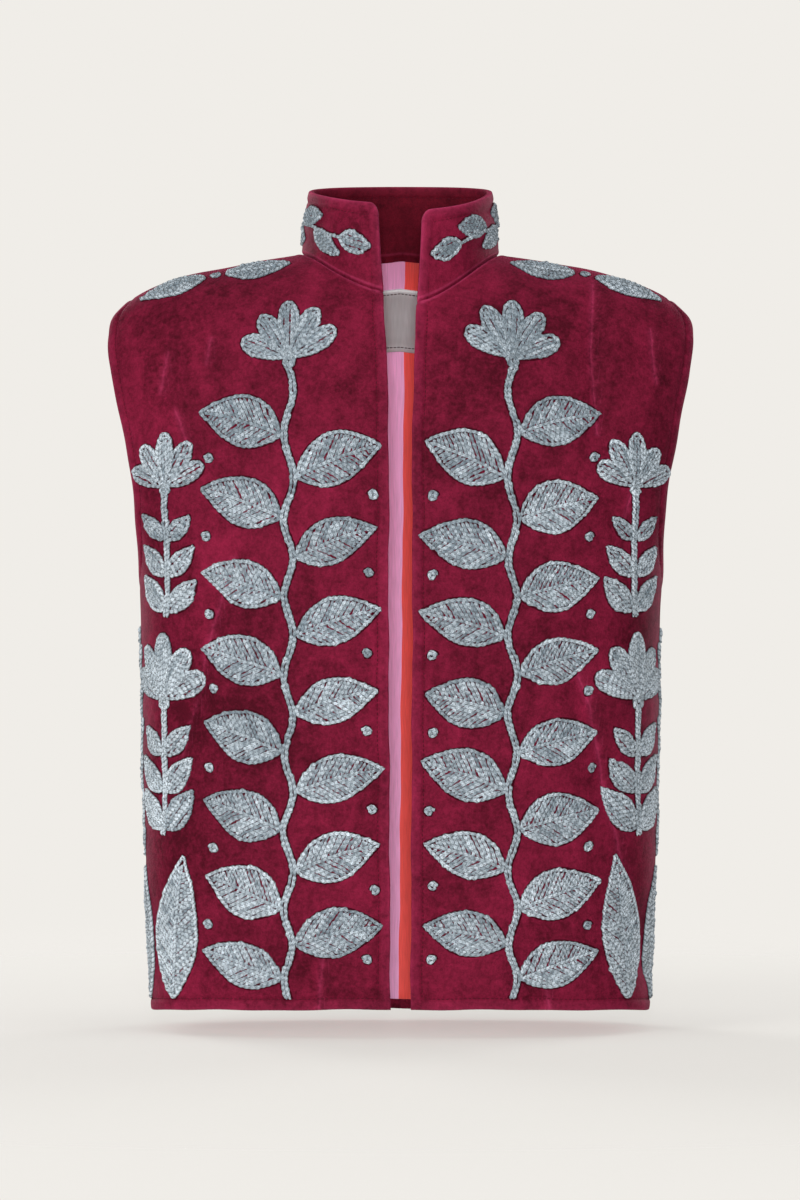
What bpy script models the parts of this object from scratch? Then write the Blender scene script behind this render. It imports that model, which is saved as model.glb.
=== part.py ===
"""Embroidered velvet vest: sleeveless, hip length, open at the front, with a standing collar.

It keeps the form it has when it is worn. Run it with blender --background --python part.py.
Metres, +Z up, the front faces -Y, and +X is the wearer's left. The origin is in the middle of
the neck hole, level with the nape, in the plane of the shoulder and side seams.

Every cloth piece follows one form: a section round the body at each level, and over the
shoulders an arch that closes on the shoulder seam. A level is the height of the armhole edge.
"""

import math

import bpy
import numpy as np

COLLECTION = "embroidered_vest"

# Driving dimensions
VELVET = 0.0024  # velvet with its interlining
LINING = 0.0010
FACING = 0.0012  # inner band of the collar
LABEL = 0.0010
SEAM = 0.0003  # left between two pieces
SQUARENESS = 2.7  # of the section round the body, where 2 is an ellipse
ARCH_BASE = -0.200  # level where the cloth starts to turn over the shoulder
FRONT_ARCH = 2.35  # roundness of that turn, where 2 is an ellipse
BACK_ARCH = 2.6
SHOULDER_TIP_X = 0.222
SHOULDER_TIP_Z = -0.036
SHOULDER_FALL = 0.165  # slope of the shoulder seam
SHOULDER_ROLL = 0.018  # further drop of the padded shoulder's end
UNDERARM = -0.252
ARMHOLE_FULL = -0.165  # level from which the armhole keeps its width
ARMHOLE_BITE = 0.50  # armhole edge's depth as a share of the section's depth
NECK_HALF = 0.0790
NECK_SIDE_Z = 0.006
NECK_BACK_Z = 0.008
NECK_FRONT_Z = {"right": -0.027, "left": -0.036}  # of the wearer: one side hangs lower
HEM_MIDDLE_Z = -0.597
HEM_TILT = 0.007  # the front hem is higher than the side's, and the back hem lower, by this
HEM_EASE = 0.10  # height over which that tilt fades out
COLLAR_TOP_SIDE_Z = 0.0570
COLLAR_TOP_TILT = 0.0135  # the back of the collar is higher, and its front ends are lower
COLLAR_TOP_BOW = 0.0042  # front and back lie this far below a plane through the sides
COLLAR_END_RISE = {"right": 0.002, "left": -0.003}  # the front ends, against that plane
COLLAR_LEAN = 0.0055
COLLAR_CROWN = 0.0012
COLLAR_END_RADIUS = 0.011
COLLAR_END_SPREAD = 0.005  # how much further apart the collar's front ends are at the top
COLLAR_SPREAD_REACH = 0.020  # along the collar, over which that fades out
LINING_HEM_INSET = 0.0080
LINING_EDGE_INSET = 0.0025
EDGE_ROLL = 0.0007  # a turned edge stands out this far from its folds
LABEL_ROWS = (-0.0995, -0.0613)  # levels of the label's lower and upper edge
LABEL_HALF = 0.036

# Grid
FRONT_COLUMNS = 13
BACK_COLUMNS = 13  # in half of the back
STEP = 1e-4  # for slopes and normals

# Level, half width and the depths in front of and behind the side seam
SECTIONS = np.array(
    [
        (-0.612, 0.1978, 0.1030, 0.0985),
        (-0.540, 0.2012, 0.1055, 0.0970),
        (-0.450, 0.2042, 0.1080, 0.0965),
        (-0.350, 0.2060, 0.1105, 0.0990),
        (-0.290, 0.2072, 0.1120, 0.1020),
        (-0.250, 0.2092, 0.1125, 0.1040),
        (-0.200, 0.2205, 0.1125, 0.1050),
        (-0.165, 0.2280, 0.1125, 0.1050),
        (-0.130, 0.2355, 0.1125, 0.1050),
        (-0.090, 0.2440, 0.1125, 0.1050),
        (-0.062, 0.2472, 0.1125, 0.1050),
        (-0.046, 0.2445, 0.1125, 0.1050),
        (-0.036, 0.2361, 0.1125, 0.1050),
    ]
)
WIDTH_COLUMN, FRONT_COLUMN, BACK_COLUMN = 1, 2, 3

# Level and distance of the front edges from the middle
FRONT_EDGES = np.array(
    [
        (-0.612, 0.0078),
        (-0.300, 0.0093),
        (-0.110, 0.0108),
        (-0.060, 0.0140),
    ]
)

# Soft folds seen from the front or the back: ends in x and z, depth (a ridge is negative) and width
FRONT_FOLDS = (
    (-0.134, -0.236, -0.163, -0.345, 0.0030, 0.013),
    (-0.163, -0.345, -0.190, -0.440, 0.0022, 0.014),
    (0.134, -0.315, 0.160, -0.415, 0.0028, 0.013),
    (0.160, -0.415, 0.192, -0.560, 0.0030, 0.015),
    (0.150, -0.040, 0.156, -0.140, 0.0024, 0.010),
    (-0.178, -0.080, -0.186, -0.108, 0.0016, 0.008),
    (0.070, -0.470, 0.078, -0.580, -0.0022, 0.018),
    (-0.085, -0.455, -0.092, -0.580, -0.0022, 0.018),
)
BACK_FOLDS = (
    (-0.120, -0.130, -0.165, -0.250, 0.0030, 0.015),
    (0.125, -0.140, 0.168, -0.245, 0.0028, 0.015),
    (-0.050, -0.380, -0.060, -0.575, -0.0030, 0.022),
    (0.065, -0.360, 0.058, -0.575, -0.0030, 0.022),
    (0.000, -0.330, 0.004, -0.560, 0.0026, 0.024),
)


def through(table, column, level):
    """A column of a table at a level, on a smooth curve through its rows."""
    levels = table[:, 0]
    values = table[:, column]
    slopes = np.gradient(values, levels)
    level = np.clip(level, levels[0], levels[-1])
    row = np.clip(np.searchsorted(levels, level) - 1, 0, len(levels) - 2)
    gap = levels[row + 1] - levels[row]
    t = (level - levels[row]) / gap
    start = (1 + 2 * t) * (1 - t) ** 2 * values[row] + t * (1 - t) ** 2 * gap * slopes[row]
    end = t * t * (3 - 2 * t) * values[row + 1] + t * t * (t - 1) * gap * slopes[row + 1]
    return start + end


def power(value, exponent):
    return np.sign(value) * np.abs(value) ** exponent


def shoulder_seam_z(x):
    past_neck = (np.abs(x) - NECK_HALF) / (SHOULDER_TIP_X - NECK_HALF)
    return NECK_SIDE_Z - SHOULDER_FALL * (np.abs(x) - NECK_HALF) - SHOULDER_ROLL * np.maximum(past_neck, 0) ** 5


def rise_at(level):
    """How far a level is up the turn over the shoulder, from 0 to 1."""
    return np.clip((level - ARCH_BASE) / (SHOULDER_TIP_Z - ARCH_BASE), 0, 1)


def level_at(rise):
    return ARCH_BASE + rise * (SHOULDER_TIP_Z - ARCH_BASE)


def arch(rise, roundness):
    return (1 - rise**roundness) ** (1 / roundness)


def rise_of_arch(depth, roundness):
    return (1 - depth**roundness) ** (1 / roundness)


def form(turn, level):
    """Outer face of the cloth, turn radians round the body from the middle of the front."""
    turn, level = np.broadcast_arrays(np.asarray(turn, float), np.asarray(level, float))
    across = power(np.sin(turn), 2 / SQUARENESS)
    along = power(np.cos(turn), 2 / SQUARENESS)
    rise = rise_at(level)
    front = along > 0
    depth = np.where(front, through(SECTIONS, FRONT_COLUMN, level), through(SECTIONS, BACK_COLUMN, level))
    turned = np.where(front, arch(rise, FRONT_ARCH), arch(rise, BACK_ARCH))
    x = through(SECTIONS, WIDTH_COLUMN, level) * across
    y = -along * depth * turned
    seam_x = through(SECTIONS, WIDTH_COLUMN, SHOULDER_TIP_Z) * across
    hem = HEM_MIDDLE_Z + HEM_TILT * np.cos(turn)
    ease = np.clip((HEM_MIDDLE_Z + HEM_EASE - level) / HEM_EASE, 0, 1)
    torso_z = level + (hem - HEM_MIDDLE_Z) * ease * ease * (3 - 2 * ease)
    arch_z = ARCH_BASE + (shoulder_seam_z(seam_x) - ARCH_BASE) * rise
    z = np.where(level > ARCH_BASE, arch_z, torso_z)
    return np.stack([x, y, z], axis=-1)


def fold_depth(points):
    """How far the folds set the cloth back at these points."""
    depth = np.zeros(points.shape[:-1])
    for folds, facing in ((FRONT_FOLDS, -1), (BACK_FOLDS, 1)):
        on_face = np.clip(facing * points[..., 1] / 0.03, 0, 1)
        for x0, z0, x1, z1, deep, wide in folds:
            run = np.array([x1 - x0, z1 - z0])
            offset = points[..., [0, 2]] - (x0, z0)
            share = np.clip(offset @ run / (run @ run), 0, 1)
            away = np.linalg.norm(offset - share[..., None] * run, axis=-1)
            depth += on_face * deep * np.exp(-((away / wide) ** 2))
    return depth


def cloth(turn, level):
    """Points of the outer face with its folds, and the directions that face out of it."""
    lower = np.maximum(level - STEP, SECTIONS[0, 0])
    upper = np.minimum(level + STEP, SHOULDER_TIP_Z)
    round_body = form(turn + STEP, level) - form(turn - STEP, level)
    up_body = form(turn, upper) - form(turn, lower)
    out = np.cross(round_body, up_body)
    out /= np.linalg.norm(out, axis=-1, keepdims=True)
    points = form(turn, level)
    return points - out * fold_depth(points)[..., None], out


def turn_at_x(x, level):
    return np.arcsin((x / through(SECTIONS, WIDTH_COLUMN, level)) ** (SQUARENESS / 2))


def armhole_turn(level):
    """Turn of the outer edge of a front: the side seam, and the armhole above the underarm."""
    past = np.clip((ARMHOLE_FULL - level) / (ARMHOLE_FULL - UNDERARM), 0, 1)
    bite = ARMHOLE_BITE * (1 - past**2) ** 0.5
    return np.arccos(bite ** (SQUARENESS / 2))


def neckline_x(rise, neck_z, roundness):
    """Half width of the neck hole, which is an ellipse seen from above."""
    lowest = (neck_z - ARCH_BASE) / (shoulder_seam_z(0) - ARCH_BASE)
    share = arch(rise, roundness) / arch(lowest, roundness)
    return NECK_HALF * np.sqrt(np.clip(1 - share**2, 0, 1))


def neck_corner_rise(neck_z, half_gap, roundness):
    """Where the neckline meets the front edge, or the middle of the back."""
    lowest = (neck_z - ARCH_BASE) / (shoulder_seam_z(0) - ARCH_BASE)
    depth = arch(lowest, roundness) * math.sqrt(1 - (half_gap / NECK_HALF) ** 2)
    return rise_of_arch(depth, roundness)


def shoulder_rises(corner_rise, roundness):
    """Rises from the corner of the neckline to the shoulder seam, closer together at the corner."""
    shares = np.array([0, 0.04, 0.12, 0.25, 0.42, 0.62, 0.82, 1])
    start = arch(corner_rise, roundness)
    return rise_of_arch(start * (1 - shares), roundness)


def panel_levels(neck_z, half_gap, roundness, extra=()):
    """Levels of a panel's rows, and which rows hold the underarm and the neckline's corner."""
    hem = HEM_MIDDLE_Z
    torso = np.linspace(hem, UNDERARM, 10)[:-1]
    bend = np.linspace(0, math.pi / 2, 5)
    underarm = ARMHOLE_FULL - (ARMHOLE_FULL - UNDERARM) * np.cos(bend)
    corner = neck_corner_rise(neck_z, half_gap, roundness)
    chest = np.linspace(ARMHOLE_FULL, level_at(corner), 4)[1:-1]
    chest = np.sort(np.concatenate([chest, extra])) if len(extra) else chest
    shoulder = level_at(shoulder_rises(corner, roundness))
    levels = np.concatenate([torso, underarm, chest, shoulder])
    return levels, len(torso), len(levels) - len(shoulder)


def even_turns(start, end, level, count):
    """Turns from start to end, spaced by both the length and the bend of the section."""
    turns = np.linspace(start, end, 160)
    points = form(turns, level)
    steps = np.diff(points, axis=0)
    length = np.concatenate([[0], np.cumsum(np.linalg.norm(steps, axis=1))])
    heading = np.unwrap(np.arctan2(steps[:, 1], steps[:, 0]))
    bend = np.concatenate([[0], np.cumsum(np.abs(np.diff(heading))), [0]])
    bend[-1] = bend[-2]
    share = length / length[-1] + 0.6 * bend / max(bend[-1], 0.3)
    return np.interp(np.linspace(0, share[-1], count), share, turns)


def seam_line(points, behind):
    """Keeps a piece on its own side of the side and shoulder seams."""
    points = points.copy()
    if behind:
        points[..., 1] = np.maximum(points[..., 1], SEAM / 2)
    else:
        points[..., 1] = np.minimum(points[..., 1], -SEAM / 2)
    return points


def front_grid(side):
    """Rows and columns of one front, from its front edge and neckline to its side and armhole."""
    neck_z = NECK_FRONT_Z[side]
    half_gap = through(FRONT_EDGES, 1, -0.06)
    levels, underarm_row, corner_row = panel_levels(neck_z, half_gap, FRONT_ARCH)
    rows = []
    for level in levels:
        rise = rise_at(level)
        inner_x = through(FRONT_EDGES, 1, level)
        if rise > 0:
            inner_x = max(inner_x, neckline_x(rise, neck_z, FRONT_ARCH))
        start = turn_at_x(inner_x, level)
        rows.append(even_turns(start, armhole_turn(level), level, FRONT_COLUMNS))
    turn = np.array(rows)
    points, out = cloth(turn, levels[:, None])
    if side == "right":
        turn = -turn
        points, out = cloth(turn, levels[:, None])
    return points, out, underarm_row, corner_row


def back_grid():
    """Rows and columns of half of the back, from its middle and neckline to its side and armhole."""
    levels, underarm_row, corner_row = panel_levels(NECK_BACK_Z, 0, BACK_ARCH, LABEL_ROWS)
    rows = []
    for level in levels:
        rise = rise_at(level)
        inner_x = neckline_x(rise, NECK_BACK_Z, BACK_ARCH) if rise > 0 else 0
        start = math.pi - turn_at_x(inner_x, level)
        rows.append(even_turns(start, math.pi - armhole_turn(level), level, BACK_COLUMNS))
    points, out = cloth(np.array(rows), levels[:, None])
    points[: corner_row + 1, 0, 0] = 0
    out[: corner_row + 1, 0, 0] = 0
    return points, out, underarm_row, corner_row, levels


def material(name, color, roughness, sheen=0.0):
    made = bpy.data.materials.new(name)
    made.use_nodes = True
    shader = made.node_tree.nodes["Principled BSDF"]
    shader.inputs["Base Color"].default_value = (*color, 1)
    shader.inputs["Roughness"].default_value = roughness
    shader.inputs["Metallic"].default_value = 0
    shader.inputs["Sheen Weight"].default_value = sheen
    made.diffuse_color = (*color, 1)
    return made


def edge_directions(grid):
    """Unit directions that point out of a grid's bottom, last column, top and first column."""

    def unit(v):
        return v / np.maximum(np.linalg.norm(v, axis=-1, keepdims=True), 1e-9)

    return (
        unit(grid[0] - grid[1]),
        unit(grid[:, -1] - grid[:, -2]),
        unit(grid[-1] - grid[-2]),
        unit(grid[:, 0] - grid[:, 1]),
    )


def wall(name, outer, inner, finish, free, open_rows=0, mirrored=False):
    """A closed cloth wall between two grids.

    free holds four masks of edge points that are turned edges and not seams: bottom, last
    column, top, first column. open_rows is the number of rows whose first column lies in the
    mirror plane and stays open.
    """
    rows, columns = outer.shape[:2]
    roll = np.zeros_like(outer)
    slots = ((0, slice(None)), (slice(None), -1), (-1, slice(None)), (slice(None), 0))
    for slot, mask, direction in zip(slots, free, edge_directions(outer)):
        roll[slot] += direction * (np.asarray(mask, float) * EDGE_ROLL)[:, None]
    if mirrored:
        roll[: open_rows + 1, 0, 0] = 0
    middle = (outer + inner) / 2 + roll

    loop = [(0, j) for j in range(columns - 1)]
    loop += [(i, columns - 1) for i in range(rows - 1)]
    loop += [(rows - 1, j) for j in range(columns - 1, 0, -1)]
    loop += [(i, 0) for i in range(rows - 1, 0, -1)]
    points = np.concatenate([outer.reshape(-1, 3), inner.reshape(-1, 3), [middle[c] for c in loop]])

    def index(cell, layer):
        return layer * rows * columns + cell[0] * columns + cell[1]

    faces = []
    for i in range(rows - 1):
        for j in range(columns - 1):
            for cell in ([(i, j), (i, j + 1), (i + 1, j + 1)], [(i, j), (i + 1, j + 1), (i + 1, j)]):
                faces.append([index(c, 0) for c in cell])
                faces.append([index(c, 1) for c in reversed(cell)])
    first_middle = 2 * rows * columns
    for k, here in enumerate(loop):
        following = (k + 1) % len(loop)
        there = loop[following]
        if here[1] == 0 and there[1] == 0 and max(here[0], there[0]) <= open_rows:
            continue
        mid_here = first_middle + k
        mid_there = first_middle + following
        faces.append([index(there, 0), index(here, 0), mid_here, mid_there])
        faces.append([mid_there, mid_here, index(here, 1), index(there, 1)])

    span = np.cross(outer[0, 1] - outer[0, 0], outer[1, 0] - outer[0, 0])
    if span @ (outer[0, 0] - inner[0, 0]) < 0:
        faces = [face[::-1] for face in faces]
    mesh = bpy.data.meshes.new(name)
    mesh.from_pydata(points.tolist(), [], faces)
    if open_rows:
        drop_loose_points(mesh)
    mesh.materials.append(finish)
    mesh.shade_smooth()
    mesh.set_sharp_from_angle(angle=math.radians(50))
    piece = bpy.data.objects.new(name, mesh)
    bpy.data.collections[COLLECTION].objects.link(piece)
    if mirrored:
        mirror = piece.modifiers.new("mirror", "MIRROR")
        mirror.merge_threshold = 1e-5
    return piece


def drop_loose_points(mesh):
    """Removes the points that no face uses."""
    used = {v for face in mesh.polygons for v in face.vertices}
    keep = sorted(used)
    renumber = {old: new for new, old in enumerate(keep)}
    points = [tuple(mesh.vertices[v].co) for v in keep]
    faces = [[renumber[v] for v in face.vertices] for face in mesh.polygons]
    mesh.clear_geometry()
    mesh.from_pydata(points, [], faces)


def inset(grid, bottom, last, first):
    """Moves a lining's free edges in from the velvet's, along the grid's own faces."""
    grid = grid.copy()

    def moved(edge, neighbour, distance):
        gap = neighbour - edge
        length = np.maximum(np.linalg.norm(gap, axis=-1, keepdims=True), 1e-9)
        share = np.minimum(np.asarray(distance).reshape(-1, 1) / length, 0.6)
        return edge + gap * share

    grid[:, -1] = moved(grid[:, -1], grid[:, -2], last)
    grid[:, 0] = moved(grid[:, 0], grid[:, 1], first)
    grid[0] = moved(grid[0], grid[1], np.full(grid.shape[1], bottom))
    return grid


def edge_masks(points, underarm_row, corner_row, first_is_edge):
    """Which edge points of a panel are turned edges."""
    rows, columns = points.shape[:2]
    row = np.arange(rows)
    return (
        np.ones(columns),
        row > underarm_row,
        np.zeros(columns),
        (row < corner_row) if first_is_edge else np.zeros(rows),
    )


def make_fronts(velvet, lining):
    grids = {}
    for side in ("right", "left"):
        points, out, underarm_row, corner_row = front_grid(side)
        grids[side] = (points, out, corner_row)
        free = edge_masks(points, underarm_row, corner_row, True)
        shell = [seam_line(points - out * d, False) for d in (0, VELVET)]
        wall(f"front_{side}", *shell, velvet, free)
        skin = [seam_line(points - out * (VELVET + SEAM + d), False) for d in (0, LINING)]
        row = np.arange(len(points))
        last = np.where(row > underarm_row, LINING_EDGE_INSET, 0)
        first = np.where(row < corner_row, LINING_EDGE_INSET, 0)
        skin = [inset(face, LINING_HEM_INSET, last, first) for face in skin]
        wall(f"lining_front_{side}", *skin, lining, [0 * np.asarray(mask) for mask in free])
    return grids


def make_back(velvet, lining, satin):
    points, out, underarm_row, corner_row, levels = back_grid()
    free = edge_masks(points, underarm_row, corner_row, False)
    shell = [seam_line(points - out * d, True) for d in (0, VELVET)]
    wall("back", *shell, velvet, free, corner_row, True)
    skin = [seam_line(points - out * (VELVET + SEAM + d), True) for d in (0, LINING)]
    last = np.where(np.arange(len(points)) > underarm_row, LINING_EDGE_INSET, 0)
    skin = [inset(face, LINING_HEM_INSET, last, 0 * last) for face in skin]
    wall("lining_back", *skin, lining, [0 * np.asarray(mask) for mask in free], corner_row, True)

    under = VELVET + SEAM + LINING + SEAM
    low, high = (int(np.argmin(np.abs(levels - level))) for level in LABEL_ROWS)
    across = int(np.argmin(np.abs(points[low, :, 0] - LABEL_HALF)))
    patch = (slice(low, high + 1), slice(0, across + 1))
    tag = [(points - out * (under + d))[patch] for d in (0, LABEL)]
    for face in tag:
        face[:, -1, 0] = face[0, -1, 0]
    none = [np.zeros(n) for n in (across + 1, high + 1 - low, across + 1, high + 1 - low)]
    wall("label", *tag, satin, none, high - low, True)
    return points, out, corner_row


def collar_line(fronts, back):
    """Seam points and outward directions in one run each."""
    runs = []
    flip = np.array([-1, 1, 1])
    for field in (0, 1):
        right = fronts["right"][field][fronts["right"][2] :, 0]
        left = fronts["left"][field][fronts["left"][2] :, 0]
        half = back[field][back[2] :, 0]
        mirrored = half * flip
        run = list(right[:-1])
        run.append((right[-1] + mirrored[-1]) / 2)
        run.extend(mirrored[-2::-1])
        run.extend(half[1:-1])
        run.append((left[-1] + half[-1]) / 2)
        run.extend(left[-2::-1])
        runs.append(np.array(run))
    points, out = runs
    out /= np.linalg.norm(out, axis=1, keepdims=True)
    return points, out


def make_collar(fronts, back, velvet):
    seam, out = collar_line(fronts, back)
    tangent = np.gradient(seam, axis=0)
    tangent /= np.linalg.norm(tangent, axis=1, keepdims=True)
    into_neck = np.cross(tangent, out)
    into_neck *= np.sign(into_neck[:, 2:])
    outward = np.cross(tangent, (0, 0, 1))
    outward[:, 2] = 0
    outward /= np.linalg.norm(outward, axis=1, keepdims=True)
    middle = np.array([0, seam[:, 1].mean(), 0])
    if np.sum((seam - middle) * outward) < 0:
        outward = -outward

    steps = np.linalg.norm(np.diff(seam, axis=0), axis=1)
    run = np.concatenate([[0], np.cumsum(steps)])
    from_end = np.minimum(run, run[-1] - run)
    facing_front = -seam[:, 1] / np.abs(seam[:, 1]).max()
    top = COLLAR_TOP_SIDE_Z - COLLAR_TOP_TILT * facing_front - COLLAR_TOP_BOW * facing_front**2
    rise = np.where(seam[:, 0] > 0, COLLAR_END_RISE["left"], COLLAR_END_RISE["right"])
    top += rise * np.clip(facing_front, 0, 1)
    short = np.maximum(COLLAR_END_RADIUS - from_end, 0)
    top -= COLLAR_END_RADIUS - np.sqrt(COLLAR_END_RADIUS**2 - short**2)
    tall = top - seam[:, 2]
    spread = np.sign(seam[:, 0]) * COLLAR_END_SPREAD * np.exp(-from_end / COLLAR_SPREAD_REACH)

    heights = np.array([0, 0.07, 0.25, 0.45, 0.65, 0.84, 1])[:, None]
    x_axis = np.array([1, 0, 0])
    stand = seam + into_neck * SEAM
    face = stand + heights[..., None] * tall[:, None] * (0, 0, 1)
    face = face - outward * (COLLAR_LEAN * heights - COLLAR_CROWN * np.sin(math.pi * heights))[..., None]
    face = face + (spread * heights)[..., None] * x_axis

    rows, columns = face.shape[:2]
    edge = (np.zeros(columns), np.ones(rows), np.ones(columns), np.ones(rows))
    for name, start, thick in (("collar", 0, VELVET), ("collar_facing", VELVET + SEAM, FACING)):
        layers = []
        for depth in (start, start + thick):
            layer = face - outward * depth
            under = depth if name == "collar" else VELVET + SEAM + (depth - start) * LINING / FACING
            layer[0] = stand - out * under
            layers.append(layer)
        wall(name, *layers, velvet, edge)


def main():
    for old in list(bpy.data.objects):
        bpy.data.objects.remove(old, do_unlink=True)
    bpy.context.scene.collection.children.link(bpy.data.collections.new(COLLECTION))
    velvet = material("crimson_velvet", (0.165, 0.012, 0.033), 0.75, 0.4)
    lining = material("striped_lining", (0.578, 0.254, 0.429), 0.6)
    satin = material("label_satin", (0.337, 0.305, 0.301), 0.4)
    fronts = make_fronts(velvet, lining)
    back = make_back(velvet, lining, satin)
    make_collar(fronts, back, velvet)


main()
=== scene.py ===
# %% [markdown]
# # An embroidered velvet vest
# This lesson dresses a plain cloth form as a folk vest: crimson velvet, a cotton lining that shows
# through the open front, a satin label, and thick chain-stitched embroidery. The solids of the vest
# are loaded first as a fixed frame. Every piece below is made on the same form, so it fits them.

# %% Load the frame
import math

import bpy
import numpy as np
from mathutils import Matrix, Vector


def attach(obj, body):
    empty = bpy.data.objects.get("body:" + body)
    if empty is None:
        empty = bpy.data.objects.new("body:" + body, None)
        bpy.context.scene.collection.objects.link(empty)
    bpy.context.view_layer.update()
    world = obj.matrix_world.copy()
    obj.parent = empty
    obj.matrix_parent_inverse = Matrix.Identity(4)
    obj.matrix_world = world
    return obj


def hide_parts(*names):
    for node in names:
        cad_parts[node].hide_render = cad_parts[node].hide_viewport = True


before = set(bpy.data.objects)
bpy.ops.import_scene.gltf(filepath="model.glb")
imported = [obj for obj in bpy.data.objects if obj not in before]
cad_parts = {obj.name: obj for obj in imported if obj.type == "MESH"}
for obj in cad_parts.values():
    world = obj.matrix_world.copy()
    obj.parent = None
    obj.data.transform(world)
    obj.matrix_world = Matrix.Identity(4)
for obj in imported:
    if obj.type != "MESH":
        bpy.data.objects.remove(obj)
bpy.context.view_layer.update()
MM = 0.001

# %% [markdown]
# ## Camera, light and floor
# The photograph was taken level with the middle of the garment and from far away, so a long lens
# keeps the hem and the shoulders nearly parallel. The key is a soft light on the left, at about the
# height of the collar. A weak one fills the right, one hangs above, and two behind give the nap its
# bright rim in the other views.

# %% Set up the view
VIEW_X = -0.0004  # the picture's middle lies a little left of the vest's
VIEW_HEIGHT = -0.2700  # of the picture's middle above the nape
VIEW_DISTANCE = 4.2
FRAME_HEIGHT = 0.960  # what the picture takes in, at the side seams
SENSOR = 36.0
BACKGROUND = (0.871, 0.847, 0.807)
FLOOR_Z = -0.6125
LAMPS_AIM = (0, 0, -0.28)  # the middle of the vest
AMBIENT = 0.34


def look_at(thing, target):
    direction = Vector(target) - thing.location
    thing.rotation_euler = direction.to_track_quat("-Z", "Y").to_euler()


def link(thing):
    bpy.context.scene.collection.objects.link(thing)
    return thing


camera = link(bpy.data.objects.new("camera", bpy.data.cameras.new("camera")))
camera.location = (VIEW_X, -VIEW_DISTANCE, VIEW_HEIGHT)
look_at(camera, (VIEW_X, 0, VIEW_HEIGHT))
camera.data.lens = SENSOR * VIEW_DISTANCE / FRAME_HEIGHT
camera.data.sensor_width = SENSOR
camera.data.clip_end = 50
bpy.context.scene.camera = camera


def soft_light(name, place, size, watts, color=(1, 1, 1)):
    light = bpy.data.lights.new(name, "AREA")
    light.shape = "DISK"
    light.size = size
    light.energy = watts
    light.color = color
    lamp = link(bpy.data.objects.new(name, light))
    lamp.location = place
    look_at(lamp, LAMPS_AIM)
    return lamp


soft_light("key", (-2.3, -2.7, 0.2), 1.5, 60, (1, 0.985, 0.96))
soft_light("fill", (2.3, -2.6, 0.1), 1.8, 8, (0.97, 0.98, 1))
soft_light("top", (0.1, -0.3, 2.6), 1.2, 16)
soft_light("back_left", (-1.9, 2.4, 0.5), 1.4, 48)
soft_light("back_right", (2.0, 2.2, 0.3), 1.4, 37)
# A tall narrow one behind the camera reaches the lining through the gap between the fronts
front = soft_light("front", (0, -4.6, 0.0), 0.4, 120)
front.data.shape = "RECTANGLE"
front.data.size_y = 1.4

world = bpy.data.worlds.new("studio")
bpy.context.scene.world = world
world.use_nodes = True
wn = world.node_tree.nodes
wn.clear()
seen = wn.new("ShaderNodeBackground")
seen.inputs["Color"].default_value = (*BACKGROUND, 1)
ambient = wn.new("ShaderNodeBackground")
ambient.inputs["Color"].default_value = (1, 0.985, 0.965, 1)
ambient.inputs["Strength"].default_value = AMBIENT
path = wn.new("ShaderNodeLightPath")
choose = wn.new("ShaderNodeMixShader")
world_out = wn.new("ShaderNodeOutputWorld")
world.node_tree.links.new(path.outputs["Is Camera Ray"], choose.inputs["Fac"])
world.node_tree.links.new(ambient.outputs[0], choose.inputs[1])
world.node_tree.links.new(seen.outputs[0], choose.inputs[2])
world.node_tree.links.new(choose.outputs[0], world_out.inputs[0])
bpy.context.scene.view_settings.view_transform = "Standard"
print("lens:", round(camera.data.lens, 1), "mm")

# %% [markdown]
# ## Node helpers
# Materials are graphs. A few small helpers keep each one short. The first ones make a node and set
# or link its inputs. Others wrap a pattern as a node group, so that several cloths can share it.

# %% Node helpers


def wire(tree, value, socket):
    if isinstance(value, bpy.types.NodeSocket):
        tree.links.new(value, socket)
    else:
        socket.default_value = value


def node(tree, kind, inputs=None, **settings):
    made = tree.nodes.new("ShaderNode" + kind)
    for name, value in settings.items():
        setattr(made, name, value)
    for name, value in (inputs or {}).items():
        wire(tree, value, made.inputs[name])
    return made


def math_node(tree, operation, *values):
    made = tree.nodes.new("ShaderNodeMath")
    made.operation = operation
    for slot_number, value in enumerate(values):
        wire(tree, value, made.inputs[slot_number])
    return made.outputs[0]


def mix_color(tree, share, low, high):
    made = tree.nodes.new("ShaderNodeMix")
    made.data_type = "RGBA"
    wire(tree, share, made.inputs[0])
    wire(tree, low, made.inputs[6])
    wire(tree, high, made.inputs[7])
    return made.outputs[2]


def new_group(name, inputs, outputs):
    group = bpy.data.node_groups.new(name, "ShaderNodeTree")
    for label, kind, value in inputs:
        made = group.interface.new_socket(name=label, in_out="INPUT", socket_type=kind)
        made.default_value = value
    for label, kind in outputs:
        group.interface.new_socket(name=label, in_out="OUTPUT", socket_type=kind)
    start = group.nodes.new("NodeGroupInput")
    end = group.nodes.new("NodeGroupOutput")
    return group, start, end


def use_group(tree, group, **inputs):
    made = tree.nodes.new("ShaderNodeGroup")
    made.node_tree = group
    for name, value in inputs.items():
        wire(tree, value, made.inputs[name.replace("_", " ")])
    return made


def new_material(name, roughness, **constants):
    made = bpy.data.materials.new(name)
    made.use_nodes = True
    shader = made.node_tree.nodes["Principled BSDF"]
    shader.inputs["Roughness"].default_value = roughness
    for label, value in constants.items():
        shader.inputs[label.replace("_", " ")].default_value = value
    return made, made.node_tree, shader


def object_place(tree):
    return node(tree, "TexCoord").outputs["Object"]


def attribute(tree, name):
    return node(tree, "Attribute", attribute_name=name).outputs["Fac"]


def noise(tree, vector, scale, detail=2.0, roughness=0.5, distortion=0.0):
    settings = {"Vector": vector, "Scale": scale, "Detail": detail}
    settings.update({"Roughness": roughness, "Distortion": distortion})
    return node(tree, "TexNoise", settings).outputs[0]


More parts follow.
